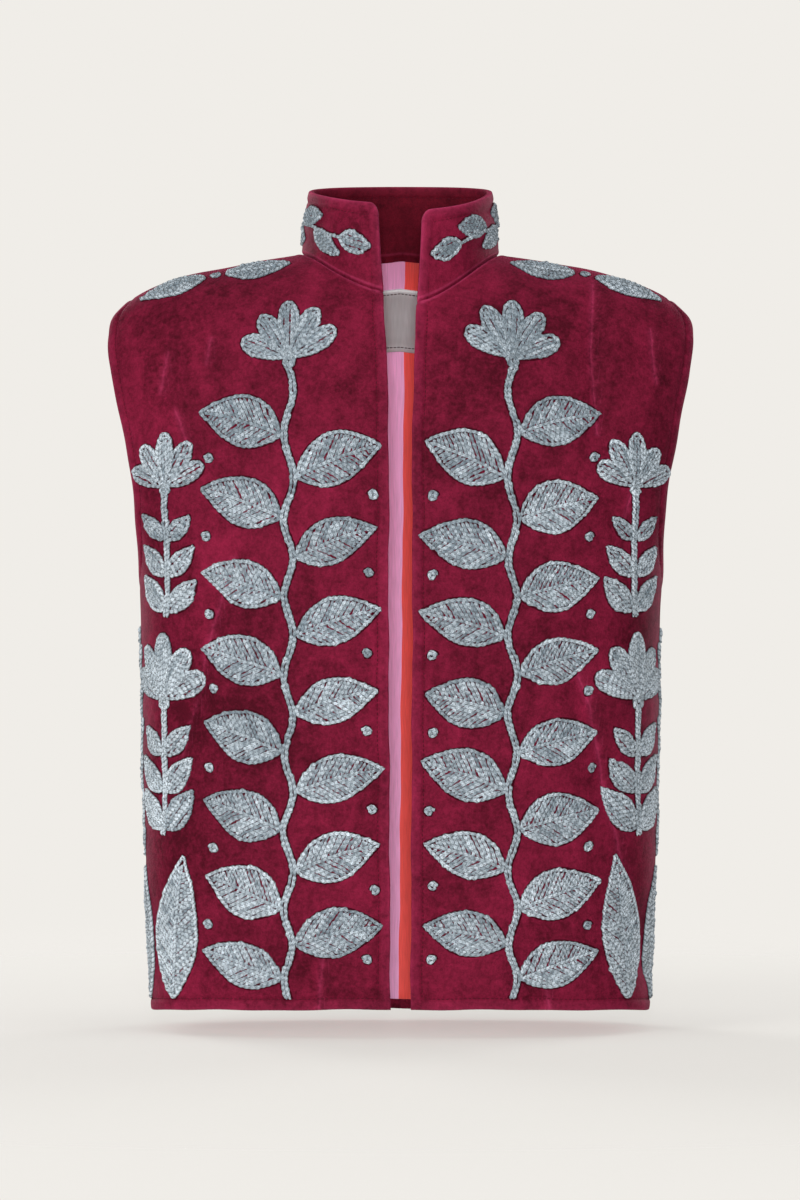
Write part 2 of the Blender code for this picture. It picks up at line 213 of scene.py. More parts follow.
def brightened(tree, color, value):
    return node(tree, "HueSaturation", {"Color": color, "Value": value}).outputs[0]


def add_bump(tree, shader, height, strength, distance):
    bump = node(tree, "Bump", {"Strength": strength, "Distance": distance, "Height": height})
    tree.links.new(bump.outputs[0], shader.inputs["Normal"])


# %% [markdown]
# ## The floor
# A pale disc lies just below the hem and catches a soft shadow. A plain square would do, but its far
# edge would draw a line across the picture. The disc fades out instead, so no horizon shows.

# %% Floor
floor_mesh = bpy.data.meshes.new("floor")
FLOOR_RADIUS = 2.2
FLOOR_CORNERS = 96
FLOOR_COVER = 0.5  # the rest lets the background through, which keeps the shadow soft
FADE_FROM = 0.45  # metres from its middle
FADE_TO = 1.5
angles = np.linspace(0, math.tau, FLOOR_CORNERS + 1)[:-1]
ring = [(FLOOR_RADIUS * math.cos(t), FLOOR_RADIUS * math.sin(t), 0) for t in angles]
floor_mesh.from_pydata(ring, [], [list(range(FLOOR_CORNERS))])
floor = link(bpy.data.objects.new("floor", floor_mesh))
floor.location.z = FLOOR_Z
floor_material, ft, fs = new_material("floor", 0.9)
far = node(ft, "VectorMath", {0: object_place(ft)}, operation="LENGTH").outputs["Value"]
fading = {"Value": far, "From Min": FADE_FROM, "From Max": FADE_TO, "To Min": FLOOR_COVER, "To Max": 0.0}
fade = node(ft, "MapRange", fading, interpolation_type="SMOOTHSTEP")
ft.links.new(fade.outputs[0], fs.inputs["Alpha"])
fs.inputs["Base Color"].default_value = (0.87, 0.85, 0.815, 1)
fs.inputs["Specular IOR Level"].default_value = 0.1
floor.data.materials.append(floor_material)

# %% [markdown]
# ## The form of the vest
# Worn cloth is neither a box nor a tube. At each level the vest has a section round the body,
# a rounded rectangle given by its half width and its depth in front and behind. Above the armpit
# the cloth arches over and closes on the shoulder seam. These are the solids' own sizes.

# %% Sizes of the form
VELVET = 2.4 * MM
LINING = 1.0 * MM
FACING = 1.2 * MM
SEAM = 0.3 * MM
SQUARENESS = 2.7  # a section at 2 would be an ellipse, more is squarer
ARCH_BASE = -0.200
FRONT_ARCH = 2.35
BACK_ARCH = 2.6
SHOULDER_TIP_X = 0.222
SHOULDER_TIP_Z = -0.036
SHOULDER_FALL = 0.165
SHOULDER_ROLL = 0.018
UNDERARM = -0.252
ARMHOLE_FULL = -0.165
ARMHOLE_BITE = 0.50
NECK_HALF = 0.0790
NECK_SIDE_Z = 0.006
NECK_BACK_Z = 0.008
NECK_FRONT_Z = {"right": -0.027, "left": -0.036}
HEM_MIDDLE_Z = -0.597
HEM_TILT = 0.007
HEM_EASE = 0.10
STEP = 1e-4  # for slopes, in radians and in metres

# Level, half width and the depths in front of and behind the side seam
SECTIONS = np.array(
    [
        (-0.612, 0.1978, 0.1030, 0.0985),
        (-0.540, 0.2012, 0.1055, 0.0970),
        (-0.450, 0.2042, 0.1080, 0.0965),
        (-0.350, 0.2060, 0.1105, 0.0990),
        (-0.290, 0.2072, 0.1120, 0.1020),
        (-0.250, 0.2092, 0.1125, 0.1040),
        (-0.200, 0.2205, 0.1125, 0.1050),
        (-0.165, 0.2280, 0.1125, 0.1050),
        (-0.130, 0.2355, 0.1125, 0.1050),
        (-0.090, 0.2440, 0.1125, 0.1050),
        (-0.062, 0.2472, 0.1125, 0.1050),
        (-0.046, 0.2445, 0.1125, 0.1050),
        (-0.036, 0.2361, 0.1125, 0.1050),
    ]
)
SECTION_COLUMNS = (1, 2, 3)
WIDTH_COLUMN = 1

# Level and distance of the front edges from the middle
FRONT_EDGES = np.array([(-0.612, 0.0078), (-0.300, 0.0093), (-0.110, 0.0108), (-0.060, 0.0140)])

# %% [markdown]
# ## One surface for all
# Each table becomes a smooth curve, and the form gives the outer face of the cloth for any turn
# round the body and any level. It could be sculpted by hand instead. On a formula every point knows
# its place, so that panels, creases and stitches can be laid down by numbers.

# %% The form


def unit(v):
    return v / np.maximum(np.linalg.norm(v, axis=-1, keepdims=True), 1e-9)


def run_along(line):
    """Length of a line of points up to each of them."""
    return np.concatenate([[0], np.cumsum(np.linalg.norm(np.diff(line, axis=0), axis=1))])


def read_along(line, run, places):
    """A line's points where its run has these lengths."""
    return np.stack([np.interp(places, run, line[:, k]) for k in range(line.shape[1])], -1)


def through(table, column, level):
    """A column of a table at a level, on a smooth curve through its rows."""
    levels = table[:, 0]
    values = table[:, column]
    slopes = np.gradient(values, levels)
    level = np.clip(level, levels[0], levels[-1])
    row = np.clip(np.searchsorted(levels, level) - 1, 0, len(levels) - 2)
    gap = levels[row + 1] - levels[row]
    t = (level - levels[row]) / gap
    start = (1 + 2 * t) * (1 - t) ** 2 * values[row] + t * (1 - t) ** 2 * gap * slopes[row]
    end = t * t * (3 - 2 * t) * values[row + 1] + t * t * (t - 1) * gap * slopes[row + 1]
    return start + end


def power(value, exponent):
    return np.sign(value) * np.abs(value) ** exponent


def shoulder_seam_z(x):
    from_neck = np.abs(x) - NECK_HALF
    share = np.maximum(from_neck / (SHOULDER_TIP_X - NECK_HALF), 0)
    return NECK_SIDE_Z - SHOULDER_FALL * from_neck - SHOULDER_ROLL * share**5


def rise_at(level):
    return np.clip((level - ARCH_BASE) / (SHOULDER_TIP_Z - ARCH_BASE), 0, 1)


def level_at(rise):
    return ARCH_BASE + rise * (SHOULDER_TIP_Z - ARCH_BASE)


def arch(rise, roundness):
    return (1 - rise**roundness) ** (1 / roundness)


def form(turn, level):
    """Outer face of the cloth, turn radians round the body from the middle of the front."""
    turn, level = np.broadcast_arrays(np.asarray(turn, float), np.asarray(level, float))
    across = power(np.sin(turn), 2 / SQUARENESS)
    along = power(np.cos(turn), 2 / SQUARENESS)
    rise = rise_at(level)
    width, front, back = (through(SECTIONS, column, level) for column in SECTION_COLUMNS)
    depth = np.where(along > 0, front, back)
    turned = np.where(along > 0, arch(rise, FRONT_ARCH), arch(rise, BACK_ARCH))
    x = width * across
    y = -along * depth * turned
    seam_x = through(SECTIONS, WIDTH_COLUMN, SHOULDER_TIP_Z) * across
    ease = np.clip((HEM_MIDDLE_Z + HEM_EASE - level) / HEM_EASE, 0, 1)
    torso_z = level + HEM_TILT * np.cos(turn) * ease * ease * (3 - 2 * ease)
    arch_z = ARCH_BASE + (shoulder_seam_z(seam_x) - ARCH_BASE) * rise
    return np.stack([x, y, np.where(level > ARCH_BASE, arch_z, torso_z)], axis=-1)


# %% [markdown]
# ## Folds and creases
# A stiff, lined vest has few folds. The long soft ones are in the solids too. To them this adds the
# finer creases of the photograph: short, of uneven length, and sharp enough to bruise the nap, which
# shows as a thin bright line. They could be sculpted too. A row of numbers for each is easier to
# move: x and z where it starts and ends in metres, then depth and, for a fold, width in millimetres.

# %% Folds
FRONT_FOLDS = (
    (-0.134, -0.236, -0.163, -0.345, 3.0, 13.0),
    (-0.163, -0.345, -0.190, -0.440, 2.2, 14.0),
    (0.134, -0.315, 0.160, -0.415, 2.8, 13.0),
    (0.160, -0.415, 0.192, -0.560, 3.0, 15.0),
    (0.150, -0.040, 0.156, -0.140, 2.4, 10.0),
    (-0.178, -0.080, -0.186, -0.108, 1.6, 8.0),
    (0.070, -0.470, 0.078, -0.580, -2.2, 18.0),
    (-0.085, -0.455, -0.092, -0.580, -2.2, 18.0),
)
BACK_FOLDS = (
    (-0.120, -0.130, -0.165, -0.250, 3.0, 15.0),
    (0.125, -0.140, 0.168, -0.245, 2.8, 15.0),
    (-0.050, -0.380, -0.060, -0.575, -3.0, 22.0),
    (0.065, -0.360, 0.058, -0.575, -3.0, 22.0),
    (0.000, -0.330, 0.004, -0.560, 2.6, 24.0),
)
# Each crease is also drawn on the velvet as a thin bright line, crushed nap with a painted highlight
# The same without a width
FRONT_CREASES = (
    (-0.132, -0.240, -0.147, -0.288, 0.9),
    (-0.147, -0.288, -0.161, -0.345, 1.1),
    (-0.163, -0.352, -0.172, -0.392, 0.8),
    (-0.186, -0.400, -0.190, -0.448, 0.7),
    (-0.184, -0.078, -0.188, -0.104, 0.8),
    (-0.150, -0.068, -0.152, -0.082, 0.6),
    (-0.176, -0.124, -0.166, -0.150, 0.5),
    (0.136, -0.318, 0.148, -0.352, 0.9),
    (0.149, -0.356, 0.163, -0.420, 0.8),
    (0.163, -0.424, 0.174, -0.470, 1.0),
    (0.176, -0.478, 0.186, -0.520, 0.9),
    (0.187, -0.524, 0.197, -0.566, 1.0),
    (0.152, -0.022, 0.150, -0.066, 1.0),
    (0.150, -0.070, 0.154, -0.138, 0.8),
    (0.197, -0.060, 0.201, -0.096, 0.6),
    (0.186, -0.176, 0.176, -0.206, 0.6),
    (-0.060, -0.548, -0.064, -0.586, 0.5),
    (0.112, -0.556, 0.116, -0.588, 0.5),
)
BACK_CREASES = (
    (-0.118, -0.134, -0.138, -0.180, 0.9),
    (-0.140, -0.184, -0.162, -0.244, 0.8),
    (0.122, -0.146, 0.142, -0.190, 0.9),
    (0.144, -0.196, 0.160, -0.232, 0.7),
    (0.176, -0.300, 0.160, -0.352, 0.8),
    (-0.178, -0.318, -0.164, -0.376, 0.9),
    (-0.028, -0.400, -0.034, -0.470, 0.6),
    (0.030, -0.470, 0.034, -0.560, 0.6),
)
CREASE_WIDE = 2.6
CREASE_SHADE_WIDE = 11.0
FAR_OFF = 9.0  # millimetres, for points that have no crease near them


def from_segment(points, start, end):
    """Distance from a straight segment seen from the front, and signed distance from its line."""
    run = np.array(end) - start
    offset = points[..., [0, 2]] - start
    share = np.clip(offset @ run / (run @ run), 0, 1)
    away = np.linalg.norm(offset - share[..., None] * run, axis=-1)
    return away, (offset[..., 0] * run[1] - offset[..., 1] * run[0]) / np.linalg.norm(run)


def along_folds(points, tables):
    """How deep the folds are at these points, in metres."""
    depth = np.zeros(points.shape[:-1])
    for folds, facing in tables:
        on_face = np.clip(facing * points[..., 1] / 0.03, 0, 1)
        for x0, z0, x1, z1, deep, wide in folds:
            away, _ = from_segment(points, (x0, z0), (x1, z1))
            depth += on_face * deep * MM * np.exp(-((away / (wide * MM)) ** 2))
    return depth


def along_creases(points, tables):
    """Depth of the creases, then three marks: millimetres across the nearest one, 1 beside it
    fading to 0, and which side of it a point is on, by which the velvet paints shade on one side and
    light on the other."""
    depth = np.zeros(points.shape[:-1])
    across = np.full(points.shape[:-1], FAR_OFF)
    beside = np.zeros(points.shape[:-1])
    side = np.zeros(points.shape[:-1])
    for creases, facing in tables:
        on_face = facing * points[..., 1] > 0.01
        for x0, z0, x1, z1, deep in creases:
            away, signed = (d / MM for d in from_segment(points, (x0, z0), (x1, z1)))
            depth += on_face * deep * MM * np.exp(-((away / CREASE_WIDE) ** 2))
            window = on_face * np.clip(1.6 - away / 4, 0, 1)
            across = np.where(window > beside, signed, across)
            beside = np.maximum(beside, window)
            # Painted shade: darker on one side of a crease and lighter on the other, fading away from it
            side += on_face * np.tanh(signed / 2) * np.exp(-((away / CREASE_SHADE_WIDE) ** 2))
    return depth, across, beside, np.clip(side, -1, 1)


def unevenness(points):
    """Slow wandering of the cloth, under a millimetre, so that no edge is quite straight."""
    x, y, z = np.moveaxis(points, -1, 0)
    sideways = np.sin(61 * z + 17 * x + 1.3) + 0.6 * np.sin(133 * z - 41 * x + 23 * y)
    outward = np.sin(74 * x + 38 * z) * np.sin(52 * z - 29 * y + 0.7)
    outward = outward + 0.5 * np.sin(120 * x - 95 * z + 60 * y)
    upward = np.sin(57 * x + 31 * y + 0.4) + 0.6 * np.sin(118 * x - 47 * y + 2.0)
    return MM * np.stack([0.35 * sideways, 0.55 * outward, 0.35 * upward], -1)


def cloth(turn, level, sign=1):
    """Outer face with its folds, the directions out of it, and three measures of its creases."""
    turn = sign * np.asarray(turn, float)
    lower = np.maximum(level - STEP, SECTIONS[0, 0])
    upper = np.minimum(level + STEP, SHOULDER_TIP_Z)
    round_body = form(turn + STEP, level) - form(turn - STEP, level)
    out = np.cross(round_body, form(turn, upper) - form(turn, lower))
    out /= np.linalg.norm(out, axis=-1, keepdims=True)
    points = form(turn, level)
    soft = along_folds(points, ((FRONT_FOLDS, -1), (BACK_FOLDS, 1)))
    sharp, across, beside, side = along_creases(points, ((FRONT_CREASES, -1), (BACK_CREASES, 1)))
    marks = np.stack([across, beside, side], -1)
    return points - out * (soft + sharp)[..., None] + unevenness(points), out, marks


print("folds:", len(FRONT_FOLDS) + len(BACK_FOLDS), "creases:", len(FRONT_CREASES) + len(BACK_CREASES))

# %% [markdown]
# ## Edges of the panels
# A front runs from its front edge and neckline to its side seam and armhole. The neck hole is an
# ellipse seen from above. The armhole bites into the section, most of all above the underarm. Holes
# could be cut out of a whole tube. Found first, they let each grid end exactly on its own edge.

# %% Edges


def turn_at_x(x, level):
    return np.arcsin(np.clip(x / through(SECTIONS, WIDTH_COLUMN, level), 0, 1) ** (SQUARENESS / 2))


def armhole_turn(level):
    past = np.clip((ARMHOLE_FULL - level) / (ARMHOLE_FULL - UNDERARM), 0, 1)
    return np.arccos((ARMHOLE_BITE * np.sqrt(1 - past**2)) ** (SQUARENESS / 2))


def neck_depth(neck_z, roundness):
    return arch((neck_z - ARCH_BASE) / (shoulder_seam_z(0) - ARCH_BASE), roundness)


def neckline_x(rise, neck_z, roundness):
    share = arch(rise, roundness) / neck_depth(neck_z, roundness)
    return NECK_HALF * np.sqrt(np.clip(1 - share**2, 0, 1))


# Side of the body, level of the neckline in its middle, roundness of the arch, and is it in front
PANELS = {
    "front_right": (-1, NECK_FRONT_Z["right"], FRONT_ARCH, True),
    "front_left": (1, NECK_FRONT_Z["left"], FRONT_ARCH, True),
    "back_right": (-1, NECK_BACK_Z, BACK_ARCH, False),
    "back_left": (1, NECK_BACK_Z, BACK_ARCH, False),
}


# Distances of a grid's first points from an edge, where the cloth is turned and stitched
NEAR_EDGE = MM * np.array([0, 0.5, 1.1, 1.8, 2.6, 3.6, 5, 6.4, 7.4, 8.2, 9.0, 9.8, 10.8, 12.5])


def panel_levels(neck_z, roundness, half_gap, pitch):
    """Levels of a panel's rows, about pitch apart, and the row of the neckline's corner."""
    fine = pitch < 6 * MM
    hem = HEM_MIDDLE_Z + np.append(NEAR_EDGE, 15 * MM)
    hem = hem if fine else hem[[0, 4, 8, 14]]
    body = np.arange(hem[-1] + pitch, UNDERARM - pitch / 2, pitch)
    bend = np.radians(np.arange(0, 48, 4 if fine else 12))
    underarm = ARMHOLE_FULL - (ARMHOLE_FULL - UNDERARM) * np.cos(bend)
    depth = neck_depth(neck_z, roundness) * math.sqrt(1 - (half_gap / NECK_HALF) ** 2)
    corner = level_at((1 - depth**roundness) ** (1 / roundness))
    chest = np.arange(underarm[-1] + pitch, corner - pitch / 2, pitch)
    shares = np.arange(0, 1.001, pitch / 0.10) ** 1.7
    shares[-1] = 1
    shoulder = level_at((1 - (depth * (1 - shares)) ** roundness) ** (1 / roundness))
    levels = np.concatenate([hem, body, underarm, chest, shoulder])
    return levels, len(levels) - len(shoulder)


def row_turns(start, end, level, shares_of):
    """Turns from start to end where shares_of, a function of the row's length, puts its points."""
    turns = np.linspace(start, end, 240)
    run = run_along(form(turns, level))
    return np.interp(shares_of(run[-1]), run, turns)


def edge_spacing(columns):
    """Points close together at both ends of a row, and evenly spread between them."""

    def places(length):
        edge = NEAR_EDGE * min(1, 0.3 * length / NEAR_EDGE[-1])
        middle = np.linspace(edge[-1], length - edge[-1], columns)[1:-1]
        return np.concatenate([edge, middle, (length - edge)[::-1]])

    return places


def even_spacing(columns):
    return lambda length: np.linspace(0, length, columns)


def panel(name, pitch, places):
    """A panel's grid of points, its directions out, crease marks, level rows and neckline corner."""
    sign, neck_z, roundness, in_front = PANELS[name]
    half_gap = through(FRONT_EDGES, 1, -0.06) if in_front else 0
    levels, corner = panel_levels(neck_z, roundness, half_gap, pitch)
    rows = []
    for level in levels:
        inner_x = through(FRONT_EDGES, 1, level) if in_front else 0
        if rise_at(level) > 0:
            inner_x = max(inner_x, neckline_x(rise_at(level), neck_z, roundness))
        start, end = turn_at_x(inner_x, level), armhole_turn(level)
        if not in_front:
            start, end = math.pi - start, math.pi - end
        rows.append(row_turns(start, end, level, places))
    turns = np.array(rows)
    points, out, marks = cloth(turns, levels[:, None], sign)
    return points, out, marks, levels, corner


# %% [markdown]
# ## Velvet
# Cotton velvet drinks light face on and glows at a grazing angle, which is what sheen does. Its nap
# never lies quite one way, so soft patches are lighter or darker, and a crease bruises it into a
# brighter line. Hairs would be the true way and far too heavy. Noise of several sizes stands for
# them, in a node group, because both velvets and the pressed pile use it.

# %% Nap group
nap, nap_in, nap_out = new_group(
    "nap",
    [("Patch Size", "NodeSocketFloat", 0.03), ("Pile Size", "NodeSocketFloat", 0.0008)],
    [("Patches", "NodeSocketFloat"), ("Pile", "NodeSocketFloat")],
)
where = object_place(nap)
patch_scale = math_node(nap, "DIVIDE", 1.0, nap_in.outputs["Patch Size"])
stretched = node(nap, "Mapping", {"Vector": where, "Scale": (1, 1, 0.55)}).outputs[0]
# Where, how much finer than a patch, detail, roughness, distortion and share of the sum
CLOUDS = (
    (stretched, 0.32, 2.0, 0.5, 0.6, 0.22),
    (stretched, 1.2, 3.0, 0.5, 0.8, 0.27),
    (where, 4.5, 3.0, 0.55, 0.5, 0.22),
    (where, 13.0, 2.0, 0.6, 0.0, 0.20),
)
DARKEST_SUM = 0.355
LIGHTEST_SUM = 0.577
summed = 0.0
for vector, finer, detail, roughness, distortion, share in CLOUDS:
    scale = math_node(nap, "MULTIPLY", patch_scale, finer)
    cloud = noise(nap, vector, scale, detail, roughness, distortion)
    summed = math_node(nap, "MULTIPLY_ADD", cloud, share, summed)
patches = node(nap, "MapRange", {"Value": summed, "From Min": DARKEST_SUM, "From Max": LIGHTEST_SUM})
nap.links.new(patches.outputs[0], nap_out.inputs["Patches"])
pile_scale = math_node(nap, "DIVIDE", 1.0, nap_in.outputs["Pile Size"])
nap.links.new(noise(nap, where, pile_scale, 3.0, 0.7), nap_out.inputs["Pile"])

# %% [markdown]
# ## Bruised creases and their painted highlight
# Where velvet has been folded, its nap is broken, and the fine, uneven line where it catches the
# light is painted into its colour as a highlight. The mesh brings each point's distance from the
# nearest crease, and a bell curve of it is the line. It could be painted by hand, but a distance
# lets the same group draw it both sharp and soft.

# %% Crease group
crease, crease_in, crease_out = new_group(
    "crease_line", [("Width", "NodeSocketFloat", 1.0)], [("Line", "NodeSocketFloat")]
)
wander = math_node(crease, "SUBTRACT", noise(crease, object_place(crease), 90.0), 0.5)
wandered = math_node(crease, "MULTIPLY_ADD", wander, 3.5, attribute(crease, "crease_across"))
nearness = math_node(crease, "DIVIDE", wandered, crease_in.outputs["Width"])
squared = math_node(crease, "MULTIPLY", nearness, nearness)
bell = math_node(crease, "EXPONENT", math_node(crease, "MULTIPLY", squared, -1.0))
line = math_node(crease, "MULTIPLY", bell, attribute(crease, "crease_beside"))
crease.links.new(line, crease_out.inputs["Line"])

# %% [markdown]
# ## The velvet's finish
# The dye is deep, so the ground stays dark and most of the light comes from the sheen. The patches
# choose between two shades of it, the pile speckles them, and one side of each crease is painted
# darker and the other lighter as shade. Creases and rubbed edges are paler, partly crushed or worn
# nap and partly a painted highlight, and so is a painted highlight beside each seam. A plain
# colour would look like felt. The inner band of the collar has the same finish, darker, as painted
# shade.

# %% Velvet material


def velvet_material(name, dark, light, bruised_highlight):
    sheen = {"Sheen_Weight": 0.19, "Sheen_Roughness": 0.34, "Sheen_Tint": (0.95, 0.13, 0.30, 1)}
    made, tree, shader = new_material(name, 0.72, Specular_IOR_Level=0.06, **sheen)
    pattern = use_group(tree, nap, Patch_Size=0.034, Pile_Size=0.0011)
    patches, pile = pattern.outputs["Patches"], pattern.outputs["Pile"]
    ground = mix_color(tree, patches, (*dark, 1), (*light, 1))
    speck = math_node(tree, "MULTIPLY_ADD", pile, 1.0, 0.54)
    # Painted shade and light on the two sides of each crease
    speck = math_node(tree, "MULTIPLY_ADD", attribute(tree, "crease_side_shade"), 0.20, speck)
    speckled = brightened(tree, ground, speck)
    sharp = use_group(tree, crease, Width=1.0).outputs[0]
    soft = use_group(tree, crease, Width=3.4).outputs[0]
    # The crease lines: crushed nap with a painted highlight
    creased = math_node(tree, "MULTIPLY_ADD", soft, 0.44, math_node(tree, "MULTIPLY", sharp, 0.48))
    patchy = math_node(tree, "MULTIPLY_ADD", patches, 0.55, 0.08)
    edge_patchy = math_node(tree, "MULTIPLY_ADD", patches, 0.55, 0.30)
    wear_and_highlight_share = math_node(tree, "MULTIPLY", creased, patchy)
    # Rubbed edges and the painted highlight beside each seam turn the nap paler
    wear_and_highlight_share = math_node(tree, "MULTIPLY_ADD", attribute(tree, "rubbed_and_seam_highlight"), edge_patchy, wear_and_highlight_share)
    tree.links.new(mix_color(tree, wear_and_highlight_share, speckled, (*bruised_highlight, 1)), shader.inputs["Base Color"])
    height = math_node(tree, "SUBTRACT", pile, math_node(tree, "MULTIPLY", sharp, 0.8))
    height = math_node(tree, "MULTIPLY_ADD", patches, 0.5, height)
    add_bump(tree, shader, height, 0.7, 0.0008)
    return made


DARK = (0.056, 0.0018, 0.0085)
LIGHT = (0.206, 0.0090, 0.0362)
# The paler colour of crushed and worn nap and of the painted highlights
BRUISED_HIGHLIGHT = (0.42, 0.038, 0.112)
velvet = velvet_material("crimson_velvet", DARK, LIGHT, BRUISED_HIGHLIGHT)
# Painted shade: the inner band of the collar is a darker copy of the same velvet, for the shade inside the
# collar
SHADED_INNER_DARK = (0.047, 0.0014, 0.0056)
SHADED_INNER_LIGHT = (0.122, 0.0044, 0.0145)
SHADED_INNER_BRUISED_HIGHLIGHT = (0.26, 0.022, 0.060)
shaded_inner_velvet = velvet_material("shaded_inner_velvet", SHADED_INNER_DARK, SHADED_INNER_LIGHT, SHADED_INNER_BRUISED_HIGHLIGHT)

# %% [markdown]
# ## Cloth as a wall
# Each velvet panel is an outer face, a rounded edge, and a strip turned in behind it. The lining
# hides the rest of the inside. A modifier could thicken a sheet, but it would give every edge the
# same square rim. Here a piece is built from grids of points, and small helpers number its faces.

# %% Cloth helper


def cells(rows, columns, first, keep=None, flip=False):
    """Two triangles for each cell of a grid whose points are numbered from first."""
    i, j = np.meshgrid(np.arange(rows - 1), np.arange(columns - 1), indexing="ij")
    i, j = i.ravel(), j.ravel()
    if keep is not None:
        chosen = keep.ravel()
        i, j = i[chosen], j[chosen]
    a, b = i * columns + j + first, i * columns + j + 1 + first
    c, d = b + columns, a + columns
    faces = np.concatenate([np.stack([a, b, c], 1), np.stack([a, c, d], 1)])
    return faces[:, ::-1] if flip else faces


def rim_faces(edge, beyond, flip=False):
    """Triangles between a run of numbered points and the run beyond it."""
    a, b = edge[:-1], edge[1:]
    d, c = beyond[:-1], beyond[1:]
    faces = np.concatenate([np.stack([b, a, d], 1), np.stack([b, d, c], 1)])
    return faces[:, ::-1] if flip else faces


def open_edge(rows, columns, inner_from=0):
    """Numbers of a grid's points down its inner side from a row, along its foot, up its outer side."""
    grid = np.arange(rows * columns).reshape(rows, columns)
    return np.concatenate([grid[inner_from:0:-1, 0], grid[0], grid[1:, -1]])


def faces_inward(points, out):
    """Whether a grid's cells, as numbered, face against its directions out."""
    return np.cross(points[1, 1] - points[0, 0], points[1, 0] - points[0, 1]) @ out[0, 0] < 0


def joined(parts):
    """Parts of a mesh as one. Each is points, faces, and then any values of its points."""
    shifted, total = [], 0
    for points, faces, *values in parts:
        shifted.append((points, faces + total, *values))
        total += len(points)
    return [np.concatenate(field) for field in zip(*shifted)]


def mesh_piece(name, points, faces, finish, attributes=None, uv=None):
    """A smooth mesh object on the frame's one body."""
    mesh = bpy.data.meshes.new(name)
    mesh.vertices.add(len(points))
    mesh.vertices.foreach_set("co", np.asarray(points, np.float32).ravel())
    mesh.loops.add(len(faces) * 3)
    mesh.loops.foreach_set("vertex_index", np.asarray(faces, np.int32).ravel())
    mesh.polygons.add(len(faces))
    mesh.polygons.foreach_set("loop_start", np.arange(0, len(faces) * 3, 3, dtype=np.int32))
    mesh.update(calc_edges=True)
    mesh.validate()
    for label, values in (attributes or {}).items():
        layer = mesh.attributes.new(label, "FLOAT", "POINT")
        layer.data.foreach_set("value", np.asarray(values, np.float32).ravel())
    if uv is not None:
        layer = mesh.uv_layers.new(name="UVMap")
        layer.data.foreach_set("uv", np.asarray(uv, np.float32)[np.asarray(faces).ravel()].ravel())
    mesh.shade_smooth()
    mesh.materials.append(finish)
    piece = link(bpy.data.objects.new(name, mesh))
    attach(piece, "root")
    return piece


def cloth_area(grid):
    a, b, c, d = grid[:-1, :-1], grid[:-1, 1:], grid[1:, 1:], grid[1:, :-1]
    first = np.linalg.norm(np.cross(b - a, c - a), axis=-1)
    second = np.linalg.norm(np.cross(c - a, d - a), axis=-1)
    return float((first + second).sum() / 2)


def distance_to(points, line):
    """Distance of each point of a grid to the nearest point of an edge."""
    flat = points.reshape(-1, 3)
    best = np.full(len(flat), np.inf)
    for start in range(0, len(line), 64):
        part = line[start : start + 64]
        best = np.minimum(best, np.linalg.norm(flat[:, None] - part[None], axis=-1).min(axis=1))
    return best.reshape(points.shape[:-1])


# %% [markdown]
# ## Fronts and back
# Free edges are turned in and topstitched 9 mm from the fold, which presses a groove. A seam shows
# only as a small dip. They could be modelled edge by edge. Both come from each point's distance to
# the edge instead, and so does the wear of the nap along a fold.

# %% Velvet panels
EDGE_ROUND = 1.2 * MM
GROOVE_IN = 9.0 * MM
GROOVE_WIDE = 1.5 * MM
GROOVE_DEEP = 0.8 * MM
RETURN = 13 * MM
EDGE_PUFF = 0.35 * MM
SEAM_DIP = 1.3 * MM
SEAM_DIP_WIDE = 1.1 * MM
SEAM_PUFF = 0.3 * MM
SEAM_PUFF_IN = 3.4 * MM
SEAM_PUFF_WIDE = 1.8 * MM
FOLD_WEAR = 0.45
COLLAR_FOLD_WEAR = 1.0
FOLD_WEAR_WIDE = 1.3 * MM
# A slightly paler strip between a folded edge and its groove
EDGE_STRIP_PALER = 0.12
EDGE_STRIP_TO = 6.5 * MM
EDGE_STRIP_FADE = 1.5 * MM
# Painted highlight: a bright line on the puff just inside each seam
SEAM_HIGHLIGHT = 0.82
SEAM_HIGHLIGHT_IN = 1.9 * MM
SEAM_HIGHLIGHT_WIDE = 1.0 * MM


def edge_relief(away, free=True):
    """How far the outer face lies below its form at a distance from an edge."""
    if not free:
        dip = SEAM_DIP * np.exp(-away / SEAM_DIP_WIDE)
        return dip - SEAM_PUFF * np.exp(-(((away - SEAM_PUFF_IN) / SEAM_PUFF_WIDE) ** 2))
    inside = np.maximum(EDGE_ROUND - away, 0)
    rolled = EDGE_ROUND - np.sqrt(np.maximum(EDGE_ROUND**2 - inside**2, 0))
    groove = GROOVE_DEEP * np.exp(-(((away - GROOVE_IN) / GROOVE_WIDE) ** 2))
    puff = EDGE_PUFF * np.exp(-(((away - 0.5 * GROOVE_IN) / (0.35 * GROOVE_IN)) ** 2))
    return rolled + groove - puff


def panel_edges(points, levels, corner, in_front):
    """The free edges and the seams of a panel, as runs of points."""
    underarm = int(np.argmin(np.abs(levels - UNDERARM)))
    free = [points[0], points[underarm:, -1]]
    seams = [points[: underarm + 1, -1], points[-1], points[corner:, 0]]
    if in_front:
        free.append(points[: corner + 1, 0])
    return free, seams


def edge_wear_and_seam_highlight(to_free, to_seam, fold_wear):
    """How much paler the nap is: rubbed along folded edges, a little on the strip inside them,
    and a painted highlight on the puff just inside each seam.
    """
    fold = fold_wear * np.exp(-to_free / FOLD_WEAR_WIDE)
    strip = EDGE_STRIP_PALER * np.clip(1 - (to_free - EDGE_STRIP_TO) / EDGE_STRIP_FADE, 0, 1)
    return fold + strip + SEAM_HIGHLIGHT * np.exp(-(((to_seam - SEAM_HIGHLIGHT_IN) / SEAM_HIGHLIGHT_WIDE) ** 2))


